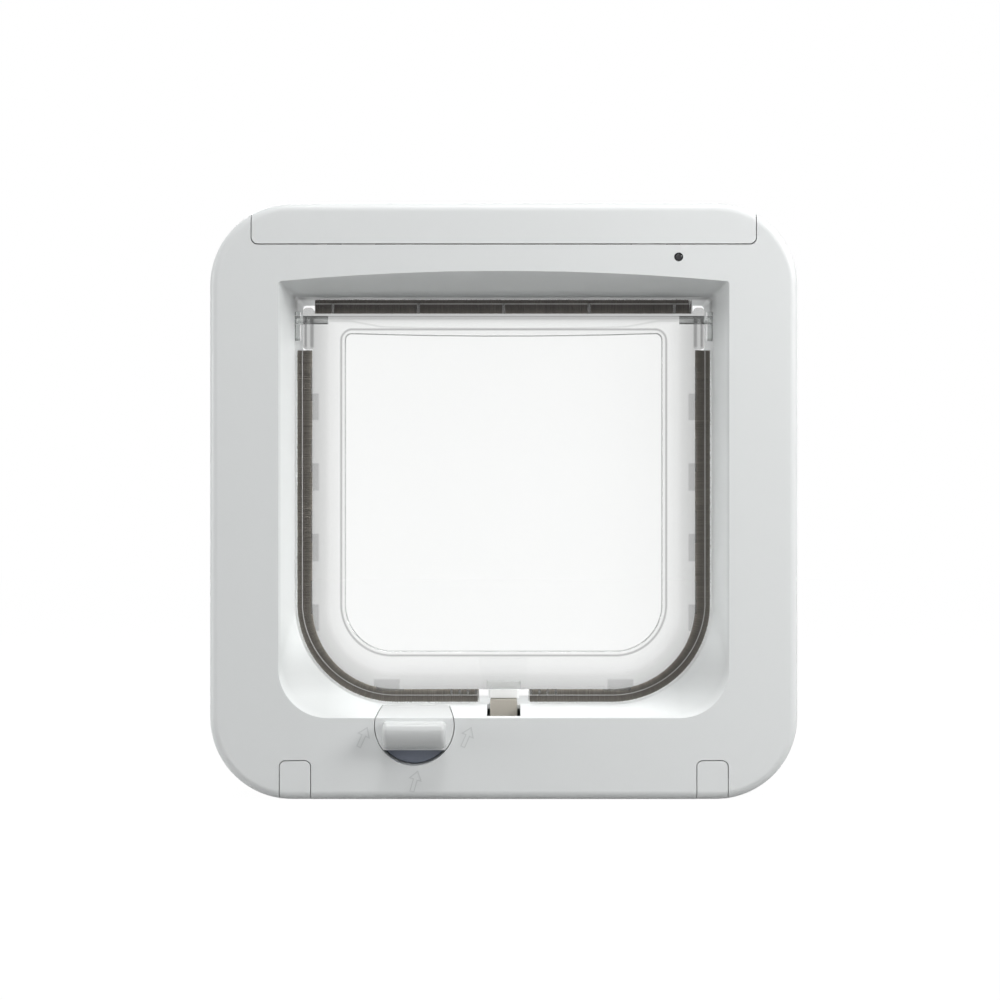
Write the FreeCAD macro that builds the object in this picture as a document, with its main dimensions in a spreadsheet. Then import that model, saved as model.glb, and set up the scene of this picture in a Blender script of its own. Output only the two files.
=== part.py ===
import FreeCAD, Part
import math
import os
from types import SimpleNamespace

import Sketcher

# Cat flap with a microchip lock, for a door.
# X runs to the right seen from the room, Y runs from the room to the garden, Z is up.
# The origin is the middle of the tunnel in the plane of the door's room face.

os.makedirs("parts", exist_ok=True)
doc = FreeCAD.newDocument("CatFlap")
sheet = doc.addObject("Spreadsheet::Sheet", "Sizes")

# Driving dimensions in millimetres. The frame's sizes come first, and each opening inside it
# is set off from the one round it. "side" values are distances from the middle in X.
DRIVING = {
    # both frames
    "frame_width": 210.0,
    "frame_top": 106.5,
    "frame_foot": 106.5,
    "frame_corner": 29.3,
    "edge_round": 3.0,
    "case_wall": 2.5,
    "back_plate": 3.0,
    "inner_depth": 38.0,
    "door_thickness": 22.0,
    "outer_depth": 14.0,
    "slip_gap": 0.2,
    "seat_gap": 0.1,
    # flared recess in front of the flap, set off from the frame's edges
    "bezel_side": 24.5,
    "bezel_head": 24.3,
    "bezel_sill": 29.1,
    "recess_rise": 3.6,
    "recess_low_corner": 17.8,
    "recess_high_corner": 1.2,
    "recess_depth": 20.5,
    "recess_wall": 2.0,
    # straight tunnel, set off from the recess
    "flare_side": 4.5,
    "flare_head": 8.0,
    "flare_sill": 3.6,
    "tunnel_low_corner": 36.5,
    "tunnel_high_corner": 1.2,
    "liner_wall": 1.6,
    "liner_reach": 32.5,
    "flange_width": 5.0,
    "flange_thickness": 2.0,
    # flap, set off from the tunnel by the brush
    "seal_width": 6.3,
    "seal_foot": 5.4,
    "seal_head": 5.9,
    "flap_setback": 4.5,
    "hinge_drop": 2.3,
    "pin_radius": 1.5,
    "pin_length": 11.0,
    "rim_thickness": 4.4,
    "rim_high_corner": 1.0,
    "window_thickness": 2.4,
    "border_side": 12.1,
    "border_head": 7.3,
    "border_foot": 13.8,
    "border_corner": 13.2,
    "window_high_corner": 2.2,
    "bead_width": 1.8,
    "bead_height": 0.7,
    "bead_round": 0.5,
    "crescent_sag": 0.9,
    "brow_side": 44.5,
    "brow_slope": 11.3,
    "brow_drop": 2.8,
    "brow_height": 2.1,
    "brow_sag": 0.7,
    "lug_reach": 3.4,
    "lug_top": 4.5,
    "lug_height": 15.3,
    "clip_reach": 2.2,
    "clip_lap": 0.5,
    "clip_thickness": 1.3,
    "clip_length": 12.0,
    "clip_pitch": 25.9,
    "clip_rise": 3.1,
    "foot_clip_length": 10.0,
    "foot_clip_reach": 3.8,
    "foot_clip_offset": 1.9,
    "foot_clip_pitch": 26.9,
    "finger_width": 1.1,
    "finger_inset": 7.5,
    "comb_pitch": 3.0,
    "comb_width": 0.9,
    "comb_reach": 2.0,
    "boss_side": 9.0,
    "boss_foot_side": 7.6,
    "boss_height": 11.2,
    "boss_depth": 6.8,
    "striker_side": 5.5,
    "striker_height": 3.0,
    "striker_depth": 7.2,
    "stem_side": 6.1,
    "stem_height": 3.0,
    "stem_depth": 3.2,
    # brush seal
    "pile_gap": 0.3,
    "pile_thickness": 1.5,
    "notch_side": 9.1,
    "top_strip_height": 5.4,
    "top_strip_inset": 0.7,
    "top_clip_height": 3.8,
    # hinge bushes
    "bush_thickness": 1.9,
    "bush_width": 6.4,
    "bush_rise": 3.0,
    "bush_drop": 7.5,
    "bush_spigot": 2.6,
    # lock knob and its rack
    "knob_x": 31.9,
    "knob_drop": 2.6,
    "knob_radius": 14.1,
    "knob_taper": 0.8,
    "well_gap": 0.3,
    "well_wall": 1.6,
    "well_floor": 1.5,
    "ridge_side": 11.25,
    "ridge_top": 1.6,
    "ridge_foot": 8.0,
    "ridge_reach": 8.0,
    "ridge_nose": 3.0,
    "ridge_root": 1.0,
    "ridge_soft": 1.8,
    "scoop_top": 8.8,
    "scoop_depth": 7.0,
    "grip_thickness": 1.6,
    "grip_inset": 0.4,
    "socket_depth": 5.0,
    "tang_side": 1.5,
    "journal_radius": 2.1,
    "tooth_module": 0.8,
    "tooth_thickness": 1.1,
    "tooth_addendum": 0.64,
    "tooth_dedendum": 0.8,
    "bar_height": 4.5,
    "lock_travel": 5.03,
    "slider_depth": 5.0,
    "slider_front": 1.5,
    "slider_side": 8.2,
    "slider_half_height": 8.0,
    "slider_float": 0.3,
    "ramp_drop": 7.5,
    "ramp_depth": 2.0,
    "peg_radius": 1.2,
    "peg_gap": 0.1,
    # latches
    "latch_side": 4.9,
    "latch_thickness": 2.6,
    "latch_show": 2.0,
    "latch_tail": 2.5,
    "latch_nib": 1.0,
    "latch_space": 1.8,
    "slot_side": 6.0,
    "slot_reach": 17.3,
    "guide_wall": 2.4,
    "fence_wall": 1.0,
    "carrier_base": 2.4,
    # catch motor, magnets
    "motor_radius": 6.0,
    "motor_length": 16.0,
    "motor_x": 16.0,
    "motor_spindle": 1.0,
    "magnet_side": 3.0,
    "magnet_height": 2.6,
    "magnet_depth": 4.0,
    # covers
    "cover_inset": 15.0,
    "cover_height": 14.5,
    "cover_reach": 30.0,
    "cover_wall": 2.2,
    "cover_gap": 0.3,
    "cover_foot_gap": 0.4,
    "cover_corner": 2.2,
    "hook_width": 12.0,
    "hook_height": 3.0,
    "hook_inset": 38.0,
    "plug_width": 10.9,
    "plug_height": 13.8,
    "plug_corner": 2.0,
    "plug_depth": 3.4,
    "plug_floor_gap": 0.3,
    "stem_wall": 1.0,
    # screws through the door, set off from the frame's edges
    "screw_inset": 30.5,
    "screw_head_inset": 10.5,
    "screw_foot_inset": 8.0,
    "screw_radius": 2.0,
    "screw_head_radius": 3.8,
    "screw_head_height": 2.6,
    "screw_seat": 8.0,
    "screw_length": 58.0,
    "screw_slack": 0.3,
    "boss_wall": 2.0,
    # small screws
    "post_inset": 12.0,
    "post_spread": 48.5,
    "post_radius": 3.6,
    "tapper_radius": 1.4,
    "tapper_head_radius": 2.6,
    "tapper_head_height": 1.6,
    "tapper_length": 9.0,
    # battery compartment
    "cell_radius": 7.0,
    "cell_nub_radius": 2.7,
    "cell_nub_length": 1.0,
    "tray_wall": 1.0,
    "bay_inset": 27.8,
    "tray_lift": 2.8,
    "tray_rim": 8.6,
    "tray_back": 3.4,
    "pillar_side": 8.5,
    "pillar_depth": 9.0,
    "button_rise": 12.0,
    "contact_thickness": 0.5,
    "contact_bow": 0.9,
    "button_radius": 3.0,
    "button_length": 5.5,
    "button_reach": 0.1,
    "button_travel": 1.0,
    # lamp, board, antenna
    "lamp_inset": 18.1,
    "lamp_lift": 5.0,
    "lamp_radius": 1.5,
    "lamp_flange": 0.6,
    "board_offset": 50.5,
    "board_width": 38.0,
    "board_drop": 3.0,
    "board_height": 18.0,
    "board_thickness": 1.6,
    "board_standoff": 6.0,
    "board_post_radius": 2.6,
    "board_post_inset": 3.6,
    "chip_side": 6.0,
    "chip_height": 2.2,
    "chip_gap": 2.5,
    "antenna_thickness": 2.2,
    "antenna_depth": 6.0,
    "antenna_offset": 1.0,
    "collar_wall": 1.4,
    "collar_reach": 8.5,
    # outer frame
    "sleeve_gap": 0.5,
    "sleeve_wall": 1.8,
    "sleeve_start": 10.0,
    "rib_pitch": 42.0,
    "rib_thickness": 1.6,
}

TOUCH = 1e-4
TOOTH_COUNT = 8
RACK_TEETH = 7
PRESSURE_ANGLE = math.radians(30.0)


class Size:
    """A length known both as a number and as a formula over the sheet's cells."""

    def __init__(self, number, formula):
        self.number = number
        self.formula = formula

    def joined(self, other, sign, number):
        return Size(number, f"({self.formula} {sign} {other.formula})")

    def __add__(self, other):
        other = as_size(other)
        return self.joined(other, "+", self.number + other.number)

    def __sub__(self, other):
        other = as_size(other)
        return self.joined(other, "-", self.number - other.number)

    def __mul__(self, other):
        other = as_size(other)
        return self.joined(other, "*", self.number * other.number)

    def __truediv__(self, other):
        other = as_size(other)
        return self.joined(other, "/", self.number / other.number)

    def __neg__(self):
        return Size(-self.number, f"(0 - {self.formula})")

    def __radd__(self, other):
        return as_size(other) + self

    def __rsub__(self, other):
        return as_size(other) - self

    def __rmul__(self, other):
        return as_size(other) * self


def as_size(value):
    if isinstance(value, Size):
        return value
    return Size(float(value), f"{value:.9f}")


for row, (alias, number) in enumerate(DRIVING.items(), start=1):
    sheet.set(f"A{row}", alias)
    sheet.set(f"B{row}", str(number))
    sheet.setAlias(f"B{row}", alias)
doc.recompute()
s = SimpleNamespace(**{name: Size(number, f"Sizes.{name}") for name, number in DRIVING.items()})

# Sketch planes: the role of the body's origin plane and the sense of its normal
PLANES = {"front": ("XZ_Plane", -1), "side": ("YZ_Plane", 1), "level": ("XY_Plane", 1)}


def arc_to(x, y, radius, left_turn=True):
    """A corner of an outline that is reached along an arc."""
    return (x, y, radius, left_turn)


def rectangle(x0, y0, x1, y1):
    return [(x0, y0), (x1, y0), (x1, y1), (x0, y1)]


def rounded(x0, y0, x1, y1, low, high):
    """A rectangle with one radius at both lower corners and one at both upper corners."""
    return [
        arc_to(x0 + low, y0, low),
        (x1 - low, y0),
        arc_to(x1, y0 + low, low),
        (x1, y1 - high),
        arc_to(x1 - high, y1, high),
        (x0 + high, y1),
        arc_to(x0, y1 - high, high),
        (x0, y0 + low),
    ]


def crowned(side, foot, top, low, high, rise):
    """The rounded rectangle with its top edge bowed by rise above the corners."""
    outline = rounded(-side, foot, side, top - rise, low, high)
    half = side - high
    outline[5] = arc_to(-half, top - rise, (half * half + rise * rise) / (2 * rise))
    return outline


def arched(x0, y0, x1, y1, high):
    """A rectangle with its two upper corners rounded."""
    return [
        (x0, y0),
        (x1, y0),
        (x1, y1 - high),
        arc_to(x1 - high, y1, high),
        (x0 + high, y1),
        arc_to(x0, y1 - high, high),
    ]


def circle(x, y, radius):
    return {"centre": (x, y), "radius": radius}


def arc_between(start, end, radius, left_turn):
    """The shorter arc from start to end, and whether it runs the same way as the outline."""
    if not left_turn:
        start, end = end, start
    chord = end - start
    half = chord.Length / 2
    rise = math.sqrt(max(radius * radius - half * half, 0.0))
    middle = (start + end) / 2
    normal = FreeCAD.Vector(-chord.y, chord.x, 0).normalize()
    centre = middle + normal * rise
    first = math.atan2(start.y - centre.y, start.x - centre.x)
    last = math.atan2(end.y - centre.y, end.x - centre.x)
    if last < first:
        last += 2 * math.pi
    ring = Part.Circle(centre, FreeCAD.Vector(0, 0, 1), radius)
    return Part.ArcOfCircle(ring, first, last)


def rule(kind, *details):
    """A sketch constraint, with the size that drives it if it has one."""
    size = details[-1] if isinstance(details[-1], Size) else None
    plain = [item.number if isinstance(item, Size) else item for item in details]
    return Sketcher.Constraint(kind, *plain), size


def circle_rules(sketch, centre, radius):
    x, y = as_size(centre[0]), as_size(centre[1])
    radius = as_size(radius)
    middle = FreeCAD.Vector(x.number, y.number, 0)
    ring = sketch.addGeometry(Part.Circle(middle, FreeCAD.Vector(0, 0, 1), radius.number), False)
    return [
        rule("DistanceX", -1, 1, ring, 3, x),
        rule("DistanceY", -1, 1, ring, 3, y),
        rule("Radius", ring, radius),
    ]


def outline_rules(sketch, outline):
    """Draw a closed outline and give the rules that hold each of its corners and arcs."""
    corners = [(as_size(corner[0]), as_size(corner[1])) for corner in outline]
    points = [FreeCAD.Vector(x.number, y.number, 0) for x, y in corners]
    edges, rules = [], []
    for index in range(len(outline)):
        target = (index + 1) % len(outline)
        step = outline[target]
        if len(step) == 2:
            edge = sketch.addGeometry(Part.LineSegment(points[index], points[target]), False)
            edges.append((edge, 1, 2))
            continue
        radius, left_turn = as_size(step[2]), step[3]
        arc = arc_between(points[index], points[target], radius.number, left_turn)
        edge = sketch.addGeometry(arc, False)
        rules.append(rule("Radius", edge, radius))
        edges.append((edge, 1, 2) if left_turn else (edge, 2, 1))
    for index, (edge, start, end) in enumerate(edges):
        following, its_start, _ = edges[(index + 1) % len(edges)]
        rules.append(rule("Coincident", edge, end, following, its_start))
        x, y = corners[index]
        rules.append(rule("DistanceX", -1, 1, edge, start, x))
        rules.append(rule("DistanceY", -1, 1, edge, start, y))
    return rules


def new_body(name, *place):
    body = doc.addObject("PartDesign::Body", name)
    body.Label = name
    for axis, size in zip("xyz", place):
        body.setExpression(f"Placement.Base.{axis}", as_size(size).formula)
    return body


def sketch_on(body, name, plane, position, outlines):
    """A sketch across the plane's axis, at the given position along it."""
    role, sense = PLANES[plane]
    origin_plane = next(part for part in body.Origin.OriginFeatures if part.Role == role)
    sketch = body.newObject("Sketcher::SketchObject", name)
    sketch.AttachmentSupport = [(origin_plane, "")]
    sketch.MapMode = "FlatFace"
    sketch.setExpression("AttachmentOffset.Base.z", (sense * as_size(position)).formula)
    rules = []
    for outline in outlines:
        if isinstance(outline, dict):
            rules += circle_rules(sketch, outline["centre"], outline["radius"])
        else:
            rules += outline_rules(sketch, outline)
    sketch.addConstraint([constraint for constraint, size in rules])
    for index, (constraint, size) in enumerate(rules):
        if size is not None:
            sketch.setExpression(f"Constraints[{index}]", size.formula)
    return sketch


def pad(body, name, plane, start, end, *outlines):
    """Add material from start to end along the plane's axis, start being the lower value."""
    feature = body.newObject("PartDesign::Pad", name)
    feature.Profile = sketch_on(body, name + "_sketch", plane, start, outlines)
    feature.setExpression("Length", (as_size(end) - start).formula)
    feature.Reversed = PLANES[plane][1] < 0
    return feature


def pocket(body, name, plane, start, end, *outlines):
    """Take material away from start to end along the plane's axis."""
    feature = body.newObject("PartDesign::Pocket", name)
    feature.Profile = sketch_on(body, name + "_sketch", plane, start, outlines)
    feature.setExpression("Length", (as_size(end) - start).formula)
    feature.Reversed = PLANES[plane][1] > 0
    return feature


def loft(body, name, cutting, plane, start, first, end, second):
    """A ruled loft between two outlines with the same number of edges."""
    kind = "PartDesign::SubtractiveLoft" if cutting else "PartDesign::AdditiveLoft"
    feature = body.newObject(kind, name)
    feature.Profile = sketch_on(body, name + "_first", plane, start, [first])
    feature.Sections = [sketch_on(body, name + "_second", plane, end, [second])]
    feature.Ruled = True
    return feature


def round_edges(body, name, radius, chosen, kind="PartDesign::Fillet"):
    """Fillet or chamfer the edges of the body's tip for which chosen(edge) is true."""
    doc.recompute()
    tip = body.Tip
    names = [f"Edge{i}" for i, edge in enumerate(tip.Shape.Edges, start=1) if chosen(edge)]
    feature = body.newObject(kind, name)
    feature.Base = (tip, names)
    feature.setExpression("Radius" if kind.endswith("Fillet") else "Size", radius.formula)
    return feature


def lies_in(axis, size):
    """A test for edges that lie in the plane axis = size."""
    index = "XYZ".index(axis)

    def test(edge):
        box = edge.BoundBox
        low = (box.XMin, box.YMin, box.ZMin)[index]
        high = (box.XMax, box.YMax, box.ZMax)[index]
        return abs(low - size.number) < TOUCH and abs(high - size.number) < TOUCH

    return test


# Openings one inside the other, from the frame to the window
frame_side = s.frame_width / 2
recess_side = frame_side - s.bezel_side
recess_crown = s.frame_top - s.bezel_head
recess_floor = s.frame_foot - s.bezel_sill
tunnel_side = recess_side - s.flare_side
tunnel_top = recess_crown - s.flare_head
tunnel_floor = recess_floor - s.flare_sill
rim_side = tunnel_side - s.seal_width
rim_top = tunnel_top - s.seal_head
rim_foot = tunnel_floor - s.seal_foot
rim_low_corner = s.tunnel_low_corner - s.seal_width
window_side = rim_side - s.border_side
window_top = rim_top - s.border_head
window_foot = rim_foot - s.border_foot
window_low_corner = rim_low_corner - s.border_corner
top_strip_side = rim_side - s.top_strip_inset
finger_pitch = (rim_side - s.finger_inset) / 2

# Shared positions
front = -s.inner_depth
plate_inside = front + s.case_wall
back_inside = -s.back_plate
recess_back = front + s.recess_depth
flap_y = recess_back + s.flap_setback
outer_start = s.door_thickness
outer_face = s.door_thickness + s.outer_depth
hinge_z = rim_top - s.hinge_drop
liner_end = s.liner_reach
knob_z = recess_floor + s.knob_drop
ramp_height = knob_z + s.ramp_drop
latch_top = tunnel_floor - s.latch_show
latch_foot = ramp_height + s.latch_tail
screw_x = frame_side - s.screw_inset
screw_top_z = s.frame_top - s.screw_head_inset
screw_foot_z = s.frame_foot - s.screw_foot_inset
post_x = frame_side - s.post_inset
plug_top = s.frame_foot - s.plug_height
cover_side = frame_side - s.cover_inset
cover_foot = s.frame_top - s.cover_height
hook_x = cover_side - s.hook_inset
lamp_x = recess_side - s.lamp_inset
lamp_z = recess_crown + s.lamp_lift
board_left = screw_x - s.board_offset
board_top = knob_z + s.board_drop
liner_side = tunnel_side + s.liner_wall


def frame_outline(inset):
    return rounded(
        inset - frame_side,
        inset - s.frame_foot,
        frame_side - inset,
        s.frame_top - inset,
        s.frame_corner - inset,
        s.frame_corner - inset,
    )


def tunnel_outline(offset):
    """The tunnel's section, made larger all round by offset."""
    high = s.tunnel_high_corner + offset
    side = tunnel_side + offset
    floor = -tunnel_floor - offset
    return rounded(-side, floor, side, tunnel_top + offset, s.tunnel_low_corner + offset, high)


def recess_outline(offset):
    """The recess at the bezel's front, made larger all round by offset."""
    return crowned(
        recess_side + offset,
        -recess_floor - offset,
        recess_crown + offset,
        s.recess_low_corner + offset,
        s.recess_high_corner + offset,
        s.recess_rise,
    )


def screw_places():
    tops = [(-screw_x, screw_top_z), (screw_x, screw_top_z)]
    return tops + [(-screw_x, -screw_foot_z), (screw_x, -screw_foot_z)]


def post_places():
    heights = (s.post_spread - s.frame_foot, as_size(0), s.frame_top - s.post_spread)
    return [(sign * post_x, z) for sign in (-1, 1) for z in heights]


def board_post_places():
    left = board_left + s.board_post_inset
    right = board_left + s.board_width - s.board_post_inset
    middle = -board_top - s.board_height / 2
    return [(left, middle), (right, middle)]


knob_axis = (-s.knob_x, -knob_z)
well_radius = s.knob_radius + s.well_gap
well_back = recess_back - s.well_floor
screw_boss_side = s.screw_head_radius + s.screw_slack + s.boss_wall
screw_seat_y = front + s.screw_seat
slider_start = recess_back + s.slider_front
slider_end = slider_start + s.slider_depth
inner_latch_end = slider_start - s.latch_space
inner_latch_start = inner_latch_end - s.latch_thickness
outer_latch_start = slider_end + s.latch_space
outer_latch_end = outer_latch_start + s.latch_thickness
lamp_place = (lamp_x, lamp_z)


def cover_window(gap, foot_gap):
    """The battery cover's outline at the front, which runs past the frame's top edge."""
    side = cover_side + gap
    foot = cover_foot - foot_gap
    corner = s.cover_corner + gap
    beyond = s.frame_top + s.case_wall
    return [
        arc_to(corner - side, foot, corner),
        (side - corner, foot),
        arc_to(side, foot + corner, corner),
        (side, beyond),
        (-side, beyond),
        (-side, foot + corner),
    ]


def plug_window(sign, gap):
    """A screw cover's outline at the front, which runs past the frame's bottom edge."""
    half = s.plug_width / 2 + gap
    middle = sign * screw_x
    beyond = -s.frame_foot - s.case_wall
    top = gap - plug_top
    return arched(middle - half, beyond, middle + half, top, s.plug_corner + gap)


def make_front_bezel():
    body = new_body("front_bezel")
    pad(body, "block", "front", front, back_inside, frame_outline(0))
    round_edges(body, "front_edge", s.edge_round, lies_in("Y", front))
    pocket(body, "hollow", "front", plate_inside, back_inside, frame_outline(s.case_wall))
    loft(
        body,
        "funnel",
        False,
        "front",
        front + s.case_wall / 2,
        recess_outline(s.recess_wall),
        recess_back,
        tunnel_outline(s.recess_wall),
    )
    # wells, bosses and posts behind the plate
    well = circle(*knob_axis, well_radius + s.well_wall)
    pad(body, "knob_well", "front", plate_inside, recess_back, well)
    half = screw_boss_side
    blocks = [rectangle(x - half, z - half, x + half, z + half) for x, z in screw_places()]
    pad(body, "screw_bosses", "front", plate_inside, back_inside, *blocks)
    posts = [circle(x, z, s.post_radius) for x, z in post_places()]
    pad(body, "posts", "front", plate_inside, back_inside, *posts)
    webs = []
    for x, z in post_places():
        inner = x if x.number > 0 else x - s.post_radius - s.case_wall
        outer = x + s.post_radius + s.case_wall if x.number > 0 else x
        webs.append(rectangle(inner, z - s.case_wall / 2, outer, z + s.case_wall / 2))
    pad(body, "post_webs", "front", plate_inside, back_inside - s.tapper_length, *webs)
    posts = [circle(x, z, s.board_post_radius) for x, z in board_post_places()]
    pad(body, "board_posts", "front", plate_inside, plate_inside + s.board_standoff, *posts)
    # the flared opening, then what opens into it
    loft(
        body,
        "recess",
        True,
        "front",
        front,
        recess_outline(0),
        recess_back,
        tunnel_outline(0),
    )
    mouth = circle(*knob_axis, well_radius)
    far_end = circle(*knob_axis, well_radius - s.knob_taper)
    loft(body, "well_bore", True, "front", front, mouth, well_back, far_end)
    journal = s.journal_radius + s.seat_gap
    pocket(body, "journal_bore", "front", well_back, recess_back, circle(*knob_axis, journal))
    slot_start = recess_back - s.slot_reach
    slot = rectangle(-s.slot_side, slot_start, s.slot_side, recess_back)
    slot_low = -recess_floor - s.recess_wall * 2
    pocket(body, "latch_slot", "level", slot_low, -tunnel_floor, slot)
    lamp = circle(*lamp_place, s.lamp_radius + s.seat_gap)
    pocket(body, "lamp_hole", "front", front, plate_inside, lamp)
    # the battery compartment opens to the front and the top
    gap = s.cover_gap
    window = cover_window(gap, s.cover_foot_gap)
    pocket(body, "cover_front", "front", front, plate_inside, window)
    top_inside = s.frame_top - s.case_wall
    half = cover_side + gap
    top = rectangle(-half, front, half, front + s.cover_reach + gap)
    pocket(body, "cover_top", "level", top_inside - s.edge_round * 2, s.frame_top, top)
    plug_seat = front + s.plug_depth + s.slip_gap
    plugs = [plug_window(sign, gap) for sign in (-1, 1)]
    pocket(body, "plug_seats", "front", front, plug_seat, *plugs)
    # screws through the door, and the blind bores of the small screws
    heads = [circle(x, z, s.screw_head_radius + s.screw_slack) for x, z in screw_places()]
    pocket(body, "head_bores", "front", front, screw_seat_y, *heads)
    shanks = [circle(x, z, s.screw_radius + s.seat_gap) for x, z in screw_places()]
    pocket(body, "shank_bores", "front", front, back_inside, *shanks)
    bores = [circle(x, z, s.tapper_radius + s.seat_gap) for x, z in post_places()]
    pocket(body, "post_bores", "front", back_inside - s.tapper_length, back_inside, *bores)
    bores = [circle(x, z, s.tapper_radius + s.seat_gap) for x, z in board_post_places()]
    board_face = plate_inside + s.board_standoff
    pocket(body, "board_bores", "front", plate_inside, board_face, *bores)
    return body


def make_rear_housing():
    body = new_body("rear_housing")
    pad(body, "plate", "front", back_inside, as_size(0), frame_outline(0))
    collar_inside = s.liner_wall + s.slip_gap + s.antenna_thickness + s.slip_gap
    collar_outside = collar_inside + s.collar_wall
    collar = [tunnel_outline(collar_outside), tunnel_outline(collar_inside)]
    pad(body, "collar", "front", as_size(0), s.collar_reach, *collar)
    lip_outside = s.case_wall + s.slip_gap
    lip = [frame_outline(lip_outside), frame_outline(lip_outside + s.collar_wall)]
    pad(body, "locating_lip", "front", back_inside - s.flange_thickness, back_inside, *lip)
    through = tunnel_outline(s.liner_wall + s.slip_gap)
    lip_start = back_inside - s.flange_thickness
    pocket(body, "tunnel_hole", "front", lip_start, s.collar_reach, through)
    shanks = [circle(x, z, s.screw_radius + s.seat_gap) for x, z in screw_places()]
    pocket(body, "shank_holes", "front", lip_start, as_size(0), *shanks)
    head_seat = -s.tapper_head_height - s.seat_gap
    shanks = [circle(x, z, s.tapper_radius + s.seat_gap) for x, z in post_places()]
    pocket(body, "tapper_holes", "front", back_inside, as_size(0), *shanks)
    heads = [circle(x, z, s.tapper_head_radius + s.slip_gap) for x, z in post_places()]
    pocket(body, "tapper_seats", "front", head_seat, as_size(0), *heads)
    # the lip makes room for the bezel's bosses and posts
    half = screw_boss_side + s.slip_gap
    blocks = [rectangle(x - half, z - half, x + half, z + half) for x, z in screw_places()]
    pocket(body, "boss_room", "front", lip_start, back_inside, *blocks)
    half = s.post_radius + s.slip_gap
    rooms = []
    for x, z in post_places():
        inner = x - half if x.number > 0 else -frame_side
        outer = frame_side if x.number > 0 else x + half
        rooms.append(rectangle(inner, z - half, outer, z + half))
    pocket(body, "post_room", "front", lip_start, back_inside, *rooms)
    return body


def make_tunnel_liner():
    body = new_body("tunnel_liner")
    wall = tunnel_outline(s.liner_wall)
    pad(body, "tube", "front", recess_back, liner_end, wall)
    flange_end = back_inside - s.seat_gap
    flange_start = flange_end - s.flange_thickness
    flange = tunnel_outline(s.flange_width)
    pad(body, "flange", "front", flange_start, flange_end, flange)
    pocket(body, "bore", "front", recess_back, liner_end, tunnel_outline(0))
    slot_start = outer_latch_start - s.slip_gap
    slot_end = outer_latch_end + s.slip_gap
    half = s.latch_side + s.slip_gap
    slot = rectangle(-half, slot_start, half, slot_end)
    below = -tunnel_floor - s.flange_width
    pocket(body, "outer_latch_slot", "level", below, -tunnel_floor, slot)
    wall_end = liner_side
    spigot = circle(flap_y, hinge_z, s.bush_spigot + s.slip_gap / 2)
    pocket(body, "bush_hole_right", "side", tunnel_side, wall_end, spigot)
    pocket(body, "bush_hole_left", "side", -wall_end, -tunnel_side, spigot)
    # the flange stops short of the outer latch's guides
    guide = s.latch_side + s.slip_gap + s.guide_wall
    room = rectangle(-guide, -tunnel_floor - s.flange_width, guide, -tunnel_floor - s.liner_wall)
    pocket(body, "guide_room", "front", flange_start, flange_end, room)
    return body


def make_exterior_frame():
    body = new_body("exterior_frame")
    pad(body, "block", "front", outer_start, outer_face, frame_outline(0))
    round_edges(body, "outer_edge", s.edge_round, lies_in("Y", outer_face))
    floor = outer_face - s.case_wall
    pocket(body, "hollow", "front", outer_start, floor, frame_outline(s.case_wall))
    inside = s.liner_wall + s.sleeve_gap
    outside = inside + s.sleeve_wall
    pad(body, "sleeve", "front", s.sleeve_start, floor, tunnel_outline(outside))
    pocket(body, "sleeve_bore", "front", s.sleeve_start, floor, tunnel_outline(inside))
    loft(
        body,
        "mouth",
        True,
        "front",
        floor - s.seat_gap,
        tunnel_outline(0),
        outer_face,
        tunnel_outline(s.case_wall),
    )
    # stiffening ribs from the sleeve to the side walls
    reach = frame_side - s.case_wall / 2
    start = tunnel_side + outside - s.sleeve_wall / 2
    ribs = []
    for step in (-1, 0, 1):
        z = step * s.rib_pitch
        low, high = z - s.rib_thickness / 2, z + s.rib_thickness / 2
        ribs.append(rectangle(start, low, reach, high))
        ribs.append(rectangle(-reach, low, -start, high))
    top_start = tunnel_top + outside - s.sleeve_wall / 2
    foot_start = -tunnel_floor - outside + s.sleeve_wall / 2
    for step in (-1, 0, 1):
        x = step * s.rib_pitch
        low, high = x - s.rib_thickness / 2, x + s.rib_thickness / 2
        ribs.append(rectangle(low, top_start, high, s.frame_top - s.case_wall / 2))
        ribs.append(rectangle(low, s.case_wall / 2 - s.frame_foot, high, foot_start))
    pad(body, "ribs", "front", outer_start + s.case_wall, floor, *ribs)
    bosses = [circle(x, z, s.screw_radius + s.boss_wall) for x, z in screw_places()]
    pad(body, "screw_bosses", "front", outer_start, floor, *bosses)
    bores = [circle(x, z, s.screw_radius + s.seat_gap) for x, z in screw_places()]
    pocket(body, "screw_bores", "front", outer_start, floor, *bores)
    return body


def make_battery_cover():
    body = new_body("battery_cover")
    reach = front + s.cover_reach
    pad(body, "block", "front", front, reach, frame_outline(0))
    round_edges(body, "front_edge", s.edge_round, lies_in("Y", front))
    inside = front + s.cover_wall
    pocket(body, "hollow", "front", inside, reach, frame_outline(s.cover_wall))
    far = s.frame_width
    around = [rectangle(-far, -far, far, far), cover_window(as_size(0), as_size(0))]
    pocket(body, "around", "front", front, reach, *around)
    # two hooks that reach behind the bezel's plate
    half = s.hook_width / 2
    hooks = []
    for sign in (-1, 1):
        x = sign * hook_x
        top = cover_foot + s.hook_height
        hooks.append(rectangle(x - half, cover_foot - s.hook_height, x + half, top))
    hook_start = plate_inside + s.slip_gap
    pad(body, "hooks", "front", inside - s.slip_gap, hook_start + s.cover_wall / 2, *hooks)
    low = rectangle(-far, -far, far, cover_foot)
    pocket(body, "hook_relief", "front", front, hook_start, low)
    return body


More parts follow.
